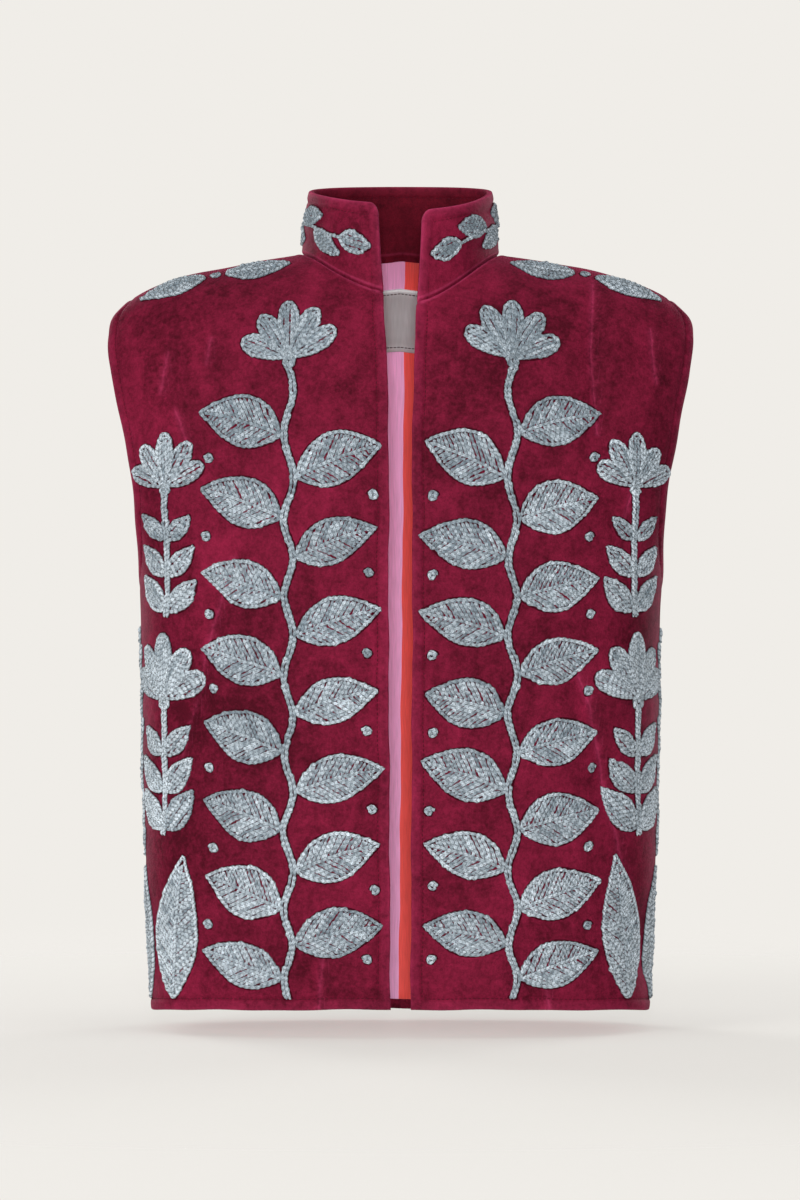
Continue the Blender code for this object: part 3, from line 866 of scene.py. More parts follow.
def velvet_panel(name, halves, finish):
    """One velvet piece from one or two grids, with its edges turned in."""
    parts, area = [], 0.0
    in_front = len(halves) == 1
    for points, out, marks, levels, corner in halves:
        free, seams = panel_edges(points, levels, corner, in_front)
        to_free = distance_to(points, np.concatenate(free))
        to_seam = distance_to(points, np.concatenate(seams))
        relief = edge_relief(to_free) + edge_relief(to_seam, False)
        outer = points - out * relief[..., None]
        wall = VELVET - np.maximum(EDGE_ROUND - to_free, 0) ** 2 / (2 * EDGE_ROUND)
        inner = points - out * wall[..., None]
        rows, columns = to_free.shape
        count = rows * columns
        flip = faces_inward(points, out)
        edge = open_edge(rows, columns, corner if in_front else 0)
        face = cells(rows, columns, 0, flip=flip)
        turned_in = cells(rows, columns, count, to_free[:-1, :-1] < RETURN, not flip)
        faces = np.concatenate([face, turned_in, rim_faces(edge, edge + count, flip)])
        wear_and_seam_highlight = edge_wear_and_seam_highlight(to_free, to_seam, FOLD_WEAR)
        marks = np.concatenate([marks, wear_and_seam_highlight[..., None]], -1).reshape(-1, 4)
        both = np.concatenate([outer.reshape(-1, 3), inner.reshape(-1, 3)])
        parts.append((both, faces, np.concatenate([marks, 0 * marks])))
        area += cloth_area(points)
    points, faces, marks = joined(parts)
    used, faces = np.unique(faces, return_inverse=True)
    faces = faces.reshape(-1, 3)
    labels = ("crease_across", "crease_beside", "crease_side_shade", "rubbed_and_seam_highlight")
    fields = {label: marks[used, k] for k, label in enumerate(labels)}
    piece = mesh_piece(name, points[used], faces, finish, fields)
    print(name, len(faces), "triangles, cloth area", round(area, 4))
    return piece, area


FINE = 3.4 * MM
grids = {name: panel(name, FINE, edge_spacing(62)) for name in PANELS}
front_right, area_right = velvet_panel("velvet_front_right", [grids["front_right"]], velvet)
front_left, area_left = velvet_panel("velvet_front_left", [grids["front_left"]], velvet)
back, area_back = velvet_panel("velvet_back", [grids["back_right"], grids["back_left"]], velvet)
for piece, solid in ((front_right, "front_right"), (front_left, "front_left"), (back, "back")):
    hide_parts(solid)

# %% [markdown]
# ## Lining and label
# Through the open front the lining of the back shows: plain cotton, pink on one side of a straight
# edge and orange-red on the other, as on a broadly striped cloth. The label is a bare satin ribbon.
# Both are woven. Real threads would be far too many, so a pattern of warp and weft stands for them.

# %% Weave group
weave, weave_in, weave_out = new_group(
    "plain_weave",
    [("Thread Size", "NodeSocketFloat", 0.0006)],
    [("Height", "NodeSocketFloat"), ("Slub", "NodeSocketFloat")],
)
flat_place = node(weave, "UVMap").outputs[0]
turns_per_metre = math_node(weave, "DIVIDE", math.pi, weave_in.outputs["Thread Size"])
split = node(weave, "SeparateXYZ", {0: flat_place})
warp = math_node(weave, "SINE", math_node(weave, "MULTIPLY", split.outputs[0], turns_per_metre))
weft = math_node(weave, "SINE", math_node(weave, "MULTIPLY", split.outputs[1], turns_per_metre))
weave.links.new(math_node(weave, "MULTIPLY", warp, weft), weave_out.inputs["Height"])
streaks = node(weave, "Mapping", {"Vector": flat_place, "Scale": (900, 60, 1)}).outputs[0]
weave.links.new(noise(weave, streaks, 1.0), weave_out.inputs["Slub"])

# %% [markdown]
# ## Striped cotton and satin
# The stripes could be a picture laid on the cloth. A rule that asks how far round the body a point
# lies gives a clean edge at any size. Uneven threads and a low bump make it cotton. The satin has
# finer threads and more gloss, a painted highlight where the ribbon is folded under, and soft clouds
# of painted sheen.

# %% Lining material
STRIPE = 0.036
PINK = (0.86, 0.420, 0.700)
RED = (0.86, 0.086, 0.070)
STRIPE_START = 0.0042
STRIPE_LEAN = -0.010
lining_cloth, lt, ls = new_material("striped_lining", 0.6, Sheen_Weight=0.15, Specular_IOR_Level=0.3)
lining_uv = node(lt, "SeparateXYZ", {0: node(lt, "UVMap").outputs[0]})
lean = math_node(lt, "MULTIPLY", lining_uv.outputs[1], STRIPE_LEAN)
leaning = math_node(lt, "ADD", lining_uv.outputs[0], lean)
from_start = math_node(lt, "SUBTRACT", leaning, STRIPE_START)
phase = math_node(lt, "FRACT", math_node(lt, "DIVIDE", from_start, 2 * STRIPE))
is_pink = math_node(lt, "GREATER_THAN", phase, 0.5)
striped = mix_color(lt, is_pink, (*RED, 1), (*PINK, 1))
lining_weave = use_group(lt, weave, Thread_Size=0.0007)
uneven = math_node(lt, "MULTIPLY_ADD", lining_weave.outputs["Slub"], 0.52, 0.72)
lt.links.new(brightened(lt, striped, uneven), ls.inputs["Base Color"])
add_bump(lt, ls, lining_weave.outputs["Height"], 0.25, 0.0002)

SATIN = (0.415, 0.445, 0.445, 1)
LABEL_TALL = 0.050  # as it lies flat
FOLD_HIGHLIGHT_FROM = 0.018  # from the label's middle
satin, st, ss = new_material("label_satin", 0.36, Specular_IOR_Level=0.55, Anisotropic=0.4)
satin_weave = use_group(st, weave, Thread_Size=0.0004)
satin_uv = node(st, "UVMap").outputs[0]
label_up = node(st, "SeparateXYZ", {0: satin_uv}).outputs[1]
from_middle = math_node(st, "ABSOLUTE", math_node(st, "SUBTRACT", label_up, LABEL_TALL / 2))
# Painted highlight where the ribbon turns under, at its top and bottom
fold_highlight = {"Value": from_middle, "From Min": FOLD_HIGHLIGHT_FROM, "From Max": 0.0245, "To Min": 0.0, "To Max": 0.32}
painted_gloss_and_slub = math_node(st, "ADD", 0.54, node(st, "MapRange", fold_highlight).outputs[0])
# Painted sheen: soft clouds of brighter and darker satin
sheen = noise(st, satin_uv, 42.0, 1.0, distortion=0.8)
painted_gloss_and_slub = math_node(st, "MULTIPLY_ADD", sheen, 0.44, painted_gloss_and_slub)
painted_gloss_and_slub = math_node(st, "MULTIPLY_ADD", satin_weave.outputs["Slub"], 0.36, painted_gloss_and_slub)
st.links.new(brightened(st, SATIN, painted_gloss_and_slub), ss.inputs["Base Color"])
add_bump(st, ss, satin_weave.outputs["Height"], 0.2, 0.0001)

# %% [markdown]
# ## Lining of the body
# A lining is cut a little smaller than the vest and hangs inside it, short of the hem and of the
# turned edges. It could be cut from new outlines. It is made from the velvet's own panels on a
# coarser grid, moved inwards, so the two always fit. Only its seen face and its rim are needed.

# %% Lining pieces
LINING_HEM_INSET = 8.0 * MM
LINING_EDGE_INSET = 2.5 * MM
LINING_PULL_REACH = 6 * MM
COARSE = 7.5 * MM


def girth(points, start):
    """Run of each point along its row from the middle of the body, where start is the first one's."""
    steps = np.linalg.norm(np.diff(points, axis=1), axis=2)
    first = np.full((len(points), 1), start)
    return np.concatenate([first, first + np.cumsum(steps, axis=1)], axis=1)


def lining_panel(name, halves, solid):
    """One piece of lining from one or two grids."""
    parts, area = [], 0.0
    in_front = len(halves) == 1
    for points, out, _, levels, corner in halves:
        free, _ = panel_edges(points, levels, corner, in_front)
        to_sides = distance_to(points, np.concatenate(free[1:]))
        inward = points.copy()
        lift = np.clip((HEM_MIDDLE_Z + LINING_HEM_INSET - levels) / LINING_HEM_INSET, 0, 1)
        inward[..., 2] += (lift * LINING_HEM_INSET)[:, None]
        toward = unit(inward[:, 4:5] * 0.5 + inward[:, -5:-4] * 0.5 - inward)
        pull = np.clip(1 - to_sides / LINING_PULL_REACH, 0, 1) * LINING_EDGE_INSET
        inward = inward + toward * pull[..., None]
        face = inward - out * (VELVET + SEAM + LINING)
        hidden = inward - out * (VELVET + SEAM)
        rows, columns = to_sides.shape
        flip = not faces_inward(points, out)
        edge = open_edge(rows, columns, rows - 1 if in_front else 0)
        beyond = np.arange(len(edge)) + rows * columns
        faces = np.concatenate([cells(rows, columns, 0, flip=flip), rim_faces(edge, beyond, flip)])
        across = np.sign(points[0, -1, 0]) * girth(points, abs(points[0, 0, 0]))
        uv = np.stack(np.broadcast_arrays(across, levels[:, None]), -1).reshape(-1, 2)
        both = np.concatenate([face.reshape(-1, 3), hidden.reshape(-1, 3)[edge]])
        parts.append((both, faces, np.concatenate([uv, uv[edge]])))
        area += cloth_area(face)
    points, faces, uv = joined(parts)
    piece = mesh_piece(name, points, faces, lining_cloth, uv=uv)
    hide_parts(solid)
    print(name, "cloth area", round(area, 4))
    return piece, area


coarse = {name: panel(name, COARSE, even_spacing(34)) for name in PANELS}
lining_right, area = lining_panel("lining_right_front", [coarse["front_right"]], "lining_front_right")
lining_left, area = lining_panel("lining_left_front", [coarse["front_left"]], "lining_front_left")
lining_back, area = lining_panel("lining_of_back", [coarse["back_right"], coarse["back_left"]], "lining_back")

# %% [markdown]
# ## The label
# A short satin ribbon, folded under above and below and stitched to the lining. It bulges slightly
# in its middle. A flat card would hover or sink in, so it is laid on the form like the panels.

# %% Label
LABEL_LEVELS = (-0.0995, -0.0613)
LABEL_HALF = 0.0295
LABEL_UNDER = VELVET + 2 * SEAM + LINING
LABEL_ROWS = 15
LABEL_COLUMNS = 25


def label_grid(depth):
    rows = []
    for level in np.linspace(*LABEL_LEVELS, LABEL_ROWS):
        edge = turn_at_x(LABEL_HALF, level)
        turns = math.pi + np.linspace(-edge, edge, LABEL_COLUMNS)
        points, out, _ = cloth(turns, np.full(LABEL_COLUMNS, level))
        rows.append(points - out * depth)
    return np.array(rows)


ribbon = label_grid(LABEL_UNDER + 0.7 * MM)
from_centre = np.hypot(*np.meshgrid(np.linspace(-1, 1, LABEL_COLUMNS), np.linspace(-1, 1, LABEL_ROWS)))
ribbon[..., 1] -= 0.6 * MM * np.clip(1.25 - from_centre, 0, 1)
hem_line = np.array([0, 1, -2, -1])  # rows pressed flat where it is folded and sewn
ribbon[hem_line, :, 1] += 0.25 * MM
under = label_grid(LABEL_UNDER - 0.2 * MM)
u, v = np.linspace(-LABEL_HALF, LABEL_HALF, LABEL_COLUMNS), np.linspace(0, LABEL_TALL, LABEL_ROWS)
ribbon_uv = np.stack(np.meshgrid(u, v), -1).reshape(-1, 2)
grid = np.arange(LABEL_ROWS * LABEL_COLUMNS).reshape(LABEL_ROWS, LABEL_COLUMNS)
around = np.concatenate([grid[0], grid[1:, -1], grid[-1, -2::-1], grid[-2::-1, 0]])
label_points = np.concatenate([ribbon.reshape(-1, 3), under.reshape(-1, 3)[around]])
label_uv = np.concatenate([ribbon_uv, ribbon_uv[around]])
skirt = rim_faces(around, np.arange(len(around)) + grid.size)
label_faces = np.concatenate([cells(LABEL_ROWS, LABEL_COLUMNS, 0), skirt])
label = mesh_piece("satin_label", label_points, label_faces, satin, uv=label_uv)
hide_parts("label")
print("label area", round(cloth_area(ribbon), 5))

# %% [markdown]
# ## Standing collar
# The collar is two bands sewn together along the top: an outer one, and an inner one that shows at
# the nape. It follows the neckline, leans in a little, and its front ends are rounded. The neckline
# isn't drawn again for it, but read off the panels, so the collar can't leave a gap.

# %% Collar line
COLLAR_TOP_SIDE_Z = 0.0570
COLLAR_TOP_TILT = 0.0135
COLLAR_TOP_BOW = 0.0042
COLLAR_END_RISE = {"right": 0.002, "left": -0.003}
COLLAR_LEAN = 5.5 * MM
COLLAR_CROWN = 1.2 * MM
COLLAR_END_RADIUS = 11 * MM
COLLAR_END_SPREAD = 5 * MM
COLLAR_SPREAD_REACH = 20 * MM


def neck_run(field):
    """A field of the panels along the neckline, from one front end round to the other."""
    halves = {name: grids[name][field][grids[name][4] :, 0] for name in PANELS}
    right, left = halves["front_right"], halves["front_left"]
    nape_right, nape_left = halves["back_right"], halves["back_left"]
    run = [*right[:-1], (right[-1] + nape_right[-1]) / 2, *nape_right[-2::-1]]
    run += [*nape_left[1:-1], (left[-1] + nape_left[-1]) / 2, *left[-2::-1]]
    return np.array(run)


raw_line, raw_out = neck_run(0), neck_run(1)
raw_run = run_along(raw_line)
ends = MM * np.array([0, 0.6, 1.3, 2.2, 3.2, 4.4, 5.8, 7.4, 9.2, 11.2])
between = np.linspace(13.5 * MM, raw_run[-1] - 13.5 * MM, 130)
stations = np.concatenate([ends, between, raw_run[-1] - ends[::-1]])
neck_line = read_along(raw_line, raw_run, stations)
neck_out = unit(read_along(raw_out, raw_run, stations))
print("neckline", round(raw_run[-1], 4), "m")

# %% [markdown]
# ## The two bands
# Each band is a grid that stands on the neckline. Its edges roll towards the other band, and its
# foot goes down behind the neckline, where it is sewn in. A bent tube would be quicker, but one
# function that makes both bands from one surface leaves no gap between them.

# %% Collar bands


def smooth_run(values, passes):
    for _ in range(passes):
        values = np.concatenate([values[:1], (values[:-2] + 2 * values[1:-1] + values[2:]) / 4, values[-1:]])
    return values


along_neck = unit(np.gradient(smooth_run(neck_line, 6), stations, axis=0))
into_neck = np.cross(along_neck, neck_out)
into_neck *= np.sign(into_neck[:, 2:])
outward = unit(np.cross(along_neck, (0, 0, 1)) * (1, 1, 0))
if (outward[:, :2] * (neck_line[:, :2] - neck_line[:, :2].mean(0))).sum() < 0:
    outward = -outward
outward = unit(smooth_run(outward, 4))
from_end = np.minimum(stations, stations[-1] - stations)
facing_front = -neck_line[:, 1] / np.abs(neck_line[:, 1]).max()
collar_top = COLLAR_TOP_SIDE_Z - COLLAR_TOP_TILT * facing_front - COLLAR_TOP_BOW * facing_front**2
end_rise = np.where(neck_line[:, 0] > 0, COLLAR_END_RISE["left"], COLLAR_END_RISE["right"])
collar_top += end_rise * np.clip(facing_front, 0, 1)
corner_drop = np.maximum(COLLAR_END_RADIUS - from_end, 0)
collar_top -= COLLAR_END_RADIUS - np.sqrt(COLLAR_END_RADIUS**2 - corner_drop**2)
collar_tall = collar_top - neck_line[:, 2]
collar_spread = np.sign(neck_line[:, 0]) * COLLAR_END_SPREAD * np.exp(-from_end / COLLAR_SPREAD_REACH)


def collar_surface(share, depth):
    """Points of the collar at shares of its height, this deep behind its outer face."""
    share = np.asarray(share)[:, None]
    lean = COLLAR_LEAN * share - COLLAR_CROWN * np.sin(math.pi * share)
    stand = neck_line + into_neck * SEAM
    face = stand + share[..., None] * collar_tall[:, None] * (0, 0, 1)
    face = face - outward * (lean + depth)[..., None]
    return face + (collar_spread * share)[..., None] * (1, 0, 0)


NECK_SEAM_DEEP = 4.5 * MM  # both bands go down behind the neckline
BAND_TALL = 60 * MM
BAND_FOOT = [0, 0.010, 0.024, 0.040, 0.058, 0.080, 0.11]
BAND_HEAD = [0.17, 0.155, 0.14, 0.125, 0.11, 0.08, 0.05, 0.03, 0.015, 0.006, 0]  # down from the top
BAND_ROWS = np.concatenate([BAND_FOOT, np.linspace(0.15, 0.78, 12), 1 - np.array(BAND_HEAD)])


def collar_band(name, depth, facing, finish, solid):
    """One band of the collar: facing is 1 for the outer face and -1 for the inner one."""
    form_points = collar_surface(BAND_ROWS, depth)
    folds = np.concatenate([form_points[:, 0], form_points[:, -1], form_points[-1]])
    to_fold = distance_to(form_points, folds)
    to_foot = (BAND_ROWS * BAND_TALL)[:, None]
    middle = 0.5 * (VELVET + SEAM + FACING)
    toward_middle = np.clip(edge_relief(to_fold) + edge_relief(to_foot, False), -1 * MM, middle)
    face = form_points - facing * outward * toward_middle[..., None]
    rows, columns = face.shape[:2]
    flip = facing * (np.cross(face[0, 1] - face[0, 0], face[1, 0] - face[0, 0]) @ outward[0]) < 0
    tuck = collar_surface(BAND_ROWS, middle)
    tuck[0, :, 2] -= NECK_SEAM_DEEP
    grid = np.arange(rows * columns).reshape(rows, columns)
    edge = np.concatenate([grid[:, 0], grid[-1, 1:], grid[-2::-1, -1], grid[0, -2::-1]])
    rim = rim_faces(edge, np.arange(len(edge)) + grid.size, not flip)
    faces = np.concatenate([cells(rows, columns, 0, flip=flip), rim])
    points = np.concatenate([face.reshape(-1, 3), tuck.reshape(-1, 3)[edge]])
    # Worn folds, and a painted highlight just above the seam at its foot
    wear_and_seam_highlight = edge_wear_and_seam_highlight(to_fold, to_foot, COLLAR_FOLD_WEAR).ravel()
    wear_and_seam_highlight = np.concatenate([wear_and_seam_highlight, 0 * edge])
    fields = dict.fromkeys(("crease_across", "crease_beside", "crease_side_shade"), 0 * wear_and_seam_highlight)
    piece = mesh_piece(name, points, faces, finish, {**fields, "rubbed_and_seam_highlight": wear_and_seam_highlight})
    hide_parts(solid)


collar_band("collar_outer_band", 0, 1, velvet, "collar")
collar_band("collar_inner_band", VELVET + SEAM + FACING, -1, shaded_inner_velvet, "collar_facing")

# %% [markdown]
# ## Charts for the needle
# Embroidery is drawn flat and sewn on a curve. A chart does that: a grid of points and directions
# over the cloth, measured in metres of girth and height, from which any point is read between
# its neighbours. Shrinking flat shapes onto the cloth would squash them at the shoulder, while a
# chart keeps their size. There is one for each quarter of the body and one for the collar.

# %% Charts
ARCH_TURN = 0.8  # the line over the shoulder that is measured, in radians round the body
CHART_PITCH = 3 * MM
CHART_REACH = 0.36  # past the side seam
CHART_TURN = 2.6  # radians round the body, which is more than the reach needs
COLLAR_CHART_ROWS = 22
COLLAR_CHART_TALL = 0.0625


def arch_lengths():
    """Rises over the shoulder and the length of cloth up to each."""
    bend = np.linspace(0, math.pi / 2, 400)
    rise = np.sin(bend) ** (2 / FRONT_ARCH)
    line = form(np.full(400, ARCH_TURN), level_at(rise))
    return rise, run_along(line)


ARCH_RISES, ARCH_RUN = arch_lengths()
UP_TOP = ARCH_BASE + ARCH_RUN[-1]


def level_of(up):
    over = np.interp(np.asarray(up) - ARCH_BASE, ARCH_RUN, ARCH_RISES)
    return np.where(np.asarray(up) > ARCH_BASE, level_at(over), up)


class Chart:
    """Reads points and outward directions at (across, up)."""

    def __init__(self, points, out, low, pitch):
        self.points, self.out, self.low, self.pitch = points, out, np.array(low), np.array(pitch)

    def at(self, places):
        grid = (np.asarray(places) - self.low) / self.pitch
        limit = np.array([self.points.shape[1], self.points.shape[0]]) - 1.001
        grid = np.clip(grid, 0, limit)
        j, i = np.floor(grid).astype(int).T
        fj, fi = (grid - np.floor(grid)).T[..., None]
        found = []
        for field in (self.points, self.out):
            low_row = field[i, j] * (1 - fj) + field[i, j + 1] * fj
            high_row = field[i + 1, j] * (1 - fj) + field[i + 1, j + 1] * fj
            found.append(low_row * (1 - fi) + high_row * fi)
        return found[0], unit(found[1])


def body_chart(sign, behind):
    """A quarter of the body and a little past the side seam, from the middle of the front or back."""
    across = np.arange(0, CHART_REACH, CHART_PITCH)
    ups = np.arange(HEM_MIDDLE_Z, UP_TOP, CHART_PITCH)
    levels = level_of(ups)
    rows = []
    for level in levels:
        turns = np.linspace(0, CHART_TURN, 300)
        turns = math.pi - turns if behind else turns
        rows.append(np.interp(across, run_along(form(turns, level)), turns))
    points, out, _ = cloth(np.array(rows), levels[:, None], sign)
    return Chart(points, out, (0, ups[0]), (CHART_PITCH, CHART_PITCH))


charts = {name: body_chart(sign, not in_front) for name, (sign, _, _, in_front) in PANELS.items()}
collar_steps = np.arange(0, stations[-1], CHART_PITCH)
collar_face = collar_surface(np.linspace(0, 1, COLLAR_CHART_ROWS), 0)
on_collar = np.array([read_along(row, stations, collar_steps) for row in collar_face])
out_of_collar = np.broadcast_to(read_along(outward, stations, collar_steps), on_collar.shape)
collar_pitch = (CHART_PITCH, COLLAR_CHART_TALL / (COLLAR_CHART_ROWS - 1))
collar_chart = Chart(on_collar, out_of_collar, (0, 0), collar_pitch)
print("top of the chart", round(UP_TOP, 4))

# %% [markdown]
# ## Yarn
# The yarn is soft, loosely spun and grey-blue. In a chain every loop comes up inside the last one,
# so a row reads as a string of Vs with a dark line where one loop meets the next. Every thread could
# be a tube of its own. A pattern on a low strip costs far less: it is drawn by the mesh's own
# coordinates, which count loops along the row and go from -1 to 1 across it.

# %% Chain pattern
CHAIN_OUTPUTS = [(label, "NodeSocketFloat") for label in ("Meeting", "Twist", "Fleck", "Wash")]
chain, chain_in, chain_out = new_group(
    "chain_loops", [("Meeting Width", "NodeSocketFloat", 0.2)], CHAIN_OUTPUTS
)
yarn_split = node(chain, "SeparateXYZ", {0: node(chain, "UVMap").outputs[0]})
along = yarn_split.outputs[0]
aside = math_node(chain, "ABSOLUTE", yarn_split.outputs[1])
loops = math_node(chain, "SUBTRACT", along, math_node(chain, "MULTIPLY", aside, 0.75))
in_loop = math_node(chain, "SUBTRACT", math_node(chain, "FRACT", loops), 0.5)
to_meeting = math_node(chain, "SUBTRACT", 0.5, math_node(chain, "ABSOLUTE", in_loop))
near = {"Value": to_meeting, "From Min": 0.0, "From Max": chain_in.outputs["Meeting Width"]}
meeting = node(chain, "MapRange", near, interpolation_type="SMOOTHSTEP").outputs[0]
twisting = math_node(chain, "MULTIPLY", along, 2.6)
twisting = math_node(chain, "ADD", twisting, math_node(chain, "MULTIPLY", aside, 2.2))
twist = math_node(chain, "SINE", math_node(chain, "MULTIPLY", twisting, math.tau))
fleck = noise(chain, object_place(chain), 520.0, 3.0, 0.65)
wash = noise(chain, object_place(chain), 24.0, 3.0)
for label, value in (("Meeting", meeting), ("Twist", twist), ("Fleck", fleck), ("Wash", wash)):
    chain.links.new(value, chain_out.inputs[label])

# %% [markdown]
# ## The yarn's finish
# Dyed yarn is never quite one colour. Each row has its own shade, and flecks and slow washes run
# through it, and rows higher up are painted darker, as shade. The tucked edges and the line where two
# loops meet are painted much darker, as shade. Finer mesh could part one stitch from the next by
# real shadow, but the painted dark line does it for nothing.

# %% Yarn material
yarn, yt, ys = new_material("yarn", 0.80, Sheen_Weight=0.2, Sheen_Roughness=0.5, Specular_IOR_Level=0.2)
chained = use_group(yt, chain, Meeting_Width=0.27)
DARK_YARN = (0.255, 0.316, 0.366, 1)
PALE_YARN = (0.725, 0.812, 0.885, 1)
YARN_SHADOW_DARK = (0.045, 0.062, 0.075, 1)
dyed = mix_color(yt, attribute(yt, "shade"), DARK_YARN, PALE_YARN)
flecked = math_node(yt, "MULTIPLY_ADD", chained.outputs["Fleck"], 1.06, 0.30)
flecked = math_node(yt, "MULTIPLY_ADD", chained.outputs["Wash"], 0.60, flecked)
dyed = brightened(yt, dyed, flecked)
parted = math_node(yt, "SUBTRACT", 1.0, chained.outputs["Meeting"])
# Painted shade where two loops meet and at the tucked edges
dyed = mix_color(yt, math_node(yt, "MULTIPLY", parted, 0.80), dyed, YARN_SHADOW_DARK)
yt.links.new(mix_color(yt, attribute(yt, "tucked_shade"), dyed, YARN_SHADOW_DARK), ys.inputs["Base Color"])
yarn_height = math_node(yt, "MULTIPLY_ADD", chained.outputs["Twist"], 0.16, chained.outputs["Meeting"])
add_bump(yt, ys, yarn_height, 0.8, 0.0008)

# %% [markdown]
# ## Chain stitch
# A chain is a line of loops, each coming up inside the last. A row of them can be one strip whose
# two strands spread from the start of each loop to its end, then jump back together. Three
# cross-sections a loop are enough, so thousands of stitches stay light. Separate loops would cost
# many times more. Tight rows at an edge also press the pile of the velvet down beside them. A low
# dark strip under each edge row paints that pressed pile together with the shadow the raised yarn
# casts, as a thin dark line round every leaf.

# %% Chain rows
CHAIN_WIDE = 3.3 * MM
CHAIN_PITCH = 4.4 * MM
CHAIN_HIGH = 1.9 * MM
# Of each loop: start, middle and end. Half width, strands apart, strand height, valley height
LOOP = np.array([(0.68, 0.20, 1.00, 0.94), (1.04, 0.50, 1.00, 0.40), (1.00, 0.62, 0.74, 0.15)])
LOOSE = 0.16  # share of its width that a row loses where the filling is loose
LOOP_VARIES = 0.14  # share by which one loop differs from the next
LOOP_DRIFT = 0.26 * MM
SUNK = 0.15 * MM  # into the pile
MEAN_SHADE = 0.46
PALER = 0.20
ROW_SHADE = 0.14
LOOP_SHADE = 0.16
LOOSE_PAINTED_SHADE = 0.20
# Painted shade: the yarn is darkened at its tucked edges and in the valley between its strands
TUCKED_SHADE = (0.9, 0.0, 0.45, 0.0, 0.9)  # how dark the yarn is across a row, from edge to edge
OUTLINE_LIFT = 0.3 * MM
STEM_LIFT = 0.05 * MM
CONTACT_SHADOW_STEP = 2.4 * MM
CONTACT_SHADOW_BEYOND = 0.75 * MM
CONTACT_SHADOW_EDGE = 0.3 * MM
# Painted shadow: the near-black crimson of the pressed pile round each motif
CONTACT_SHADOW_DARK = (0.020, 0.0008, 0.0035, 1)
CONTACT_SHADOW_LIGHT = (0.062, 0.0022, 0.0100, 1)
rng = np.random.default_rng(7)
contact_shadow_rng = np.random.default_rng(23)
contact_shadow_finish, pt, ps = new_material("pile_contact_shadow", 0.85, Specular_IOR_Level=0.05)
flat_pile = use_group(pt, nap, Patch_Size=0.012, Pile_Size=0.0008).outputs["Pile"]
pt.links.new(mix_color(pt, flat_pile, CONTACT_SHADOW_DARK, CONTACT_SHADOW_LIGHT), ps.inputs["Base Color"])


def resample(line, gap):
    """The same line with its points this far apart."""
    run = run_along(line)
    count = max(int(round(run[-1] / gap)), 3)
    return read_along(line, run, np.linspace(0, run[-1], count + 1))


def looseness(line):
    """1 where the filling was worked loosely, 0 where it is tight."""
    x, y = line.T
    wandering = np.sin(240 * x + 90 * y + 0.6) * np.sin(310 * y - 80 * x) + 0.6 * np.sin(610 * x + 470 * y)
    return np.clip((wandering - 0.25) / 0.5, 0, 1)


def skein_and_top_shade(line):
    """Slow changes of shade, as one skein of yarn gives way to the next, and painted shade that
    darkens the rows towards the top.
    """
    x, y = line.T
    waves = 0.07 * np.sin(37 * x + 19 * y + 1.1) + 0.05 * np.sin(61 * y - 43 * x)
    waves = waves + 0.05 * np.sin(13 * y + 2.2)
    # Painted shade: rows higher up are darker
    painted_shade_above = 0.26 * np.clip((y + 0.25) / 0.14, 0, 1)
    return waves - painted_shade_above


def chain_strip(chart, line, lift, pale):
    """One row of chain stitch along a line of the chart: points, faces, uv, shade and tuck."""
    line = resample(np.asarray(line, float), CHAIN_PITCH / 3 * rng.uniform(0.92, 1.08))
    centre, out = chart.at(line)
    ahead = unit(np.gradient(centre, axis=0))
    side = unit(np.cross(out, ahead))
    count = len(line)
    k = np.arange(count) + rng.integers(0, 3)
    loop = LOOP[k % 3]
    per_loop = rng.normal(0, 1, (count // 3 + 3, 3))[k // 3]
    loose = looseness(line) if lift == 0 else np.zeros(count)
    half = 0.5 * CHAIN_WIDE * loop[:, 0] * (1 + LOOP_VARIES * per_loop[:, 0]) * (1 - LOOSE * loose)
    apart = 0.5 * CHAIN_WIDE * loop[:, 1] * (1 - LOOSE * loose)
    crest = CHAIN_HIGH * loop[:, 2] * (1 + LOOP_VARIES * per_loop[:, 1])
    valley = CHAIN_HIGH * loop[:, 3]
    drift = LOOP_DRIFT * per_loop[:, 2]
    closing = np.where(np.minimum(k - k[0], k[-1] - k) == 0, 0.35, 1.0)
    across = np.stack([-half, -apart, 0 * half, apart, half], 1) * closing[:, None] + drift[:, None]
    up = np.stack([0 * crest, crest, valley, crest, 0 * crest], 1) * closing[:, None] + lift - SUNK
    points = centre[:, None] + side[:, None] * across[..., None] + out[:, None] * up[..., None]
    uv = np.stack(np.broadcast_arrays(k[:, None] / 3, np.linspace(-1, 1, 5)), -1)
    tuck = np.tile(TUCKED_SHADE, (count, 1))
    tuck[k % 3 == 0, 2] = 0.05
    shade = MEAN_SHADE + pale + skein_and_top_shade(line) + ROW_SHADE * rng.normal()
    # Loosely worked rows are also painted darker, as shade in their gaps
    shade = shade + LOOP_SHADE * per_loop[:, 0] - LOOSE_PAINTED_SHADE * loose
    shade = np.repeat(np.clip(shade, 0, 1), 5)
    return points.reshape(-1, 3), cells(count, 5, 0), uv.reshape(-1, 2), shade, tuck.ravel()


def contact_shadow_strip(chart, line):
    """The pile that an edge row holds down, with the shadow the raised yarn casts on it, painted
    as a low dark strip a little wider than the row.
    """
    line = resample(np.asarray(line, float), CONTACT_SHADOW_STEP)
    centre, out = chart.at(line)
    side = unit(np.cross(out, unit(np.gradient(centre, axis=0))))
    half = 0.5 * CHAIN_WIDE + CONTACT_SHADOW_BEYOND * contact_shadow_rng.uniform(0.4, 1.2, (len(line), 2))
    left, right = half.T
    across = np.stack([-left - CONTACT_SHADOW_EDGE, -left, right, right + CONTACT_SHADOW_EDGE], 1)
    up = MM * np.array([-0.20, 0.10, 0.10, -0.20])
    points = centre[:, None] + side[:, None] * across[..., None] + out[:, None] * up[:, None]
    return points.reshape(-1, 3), cells(len(line), 4, 0)


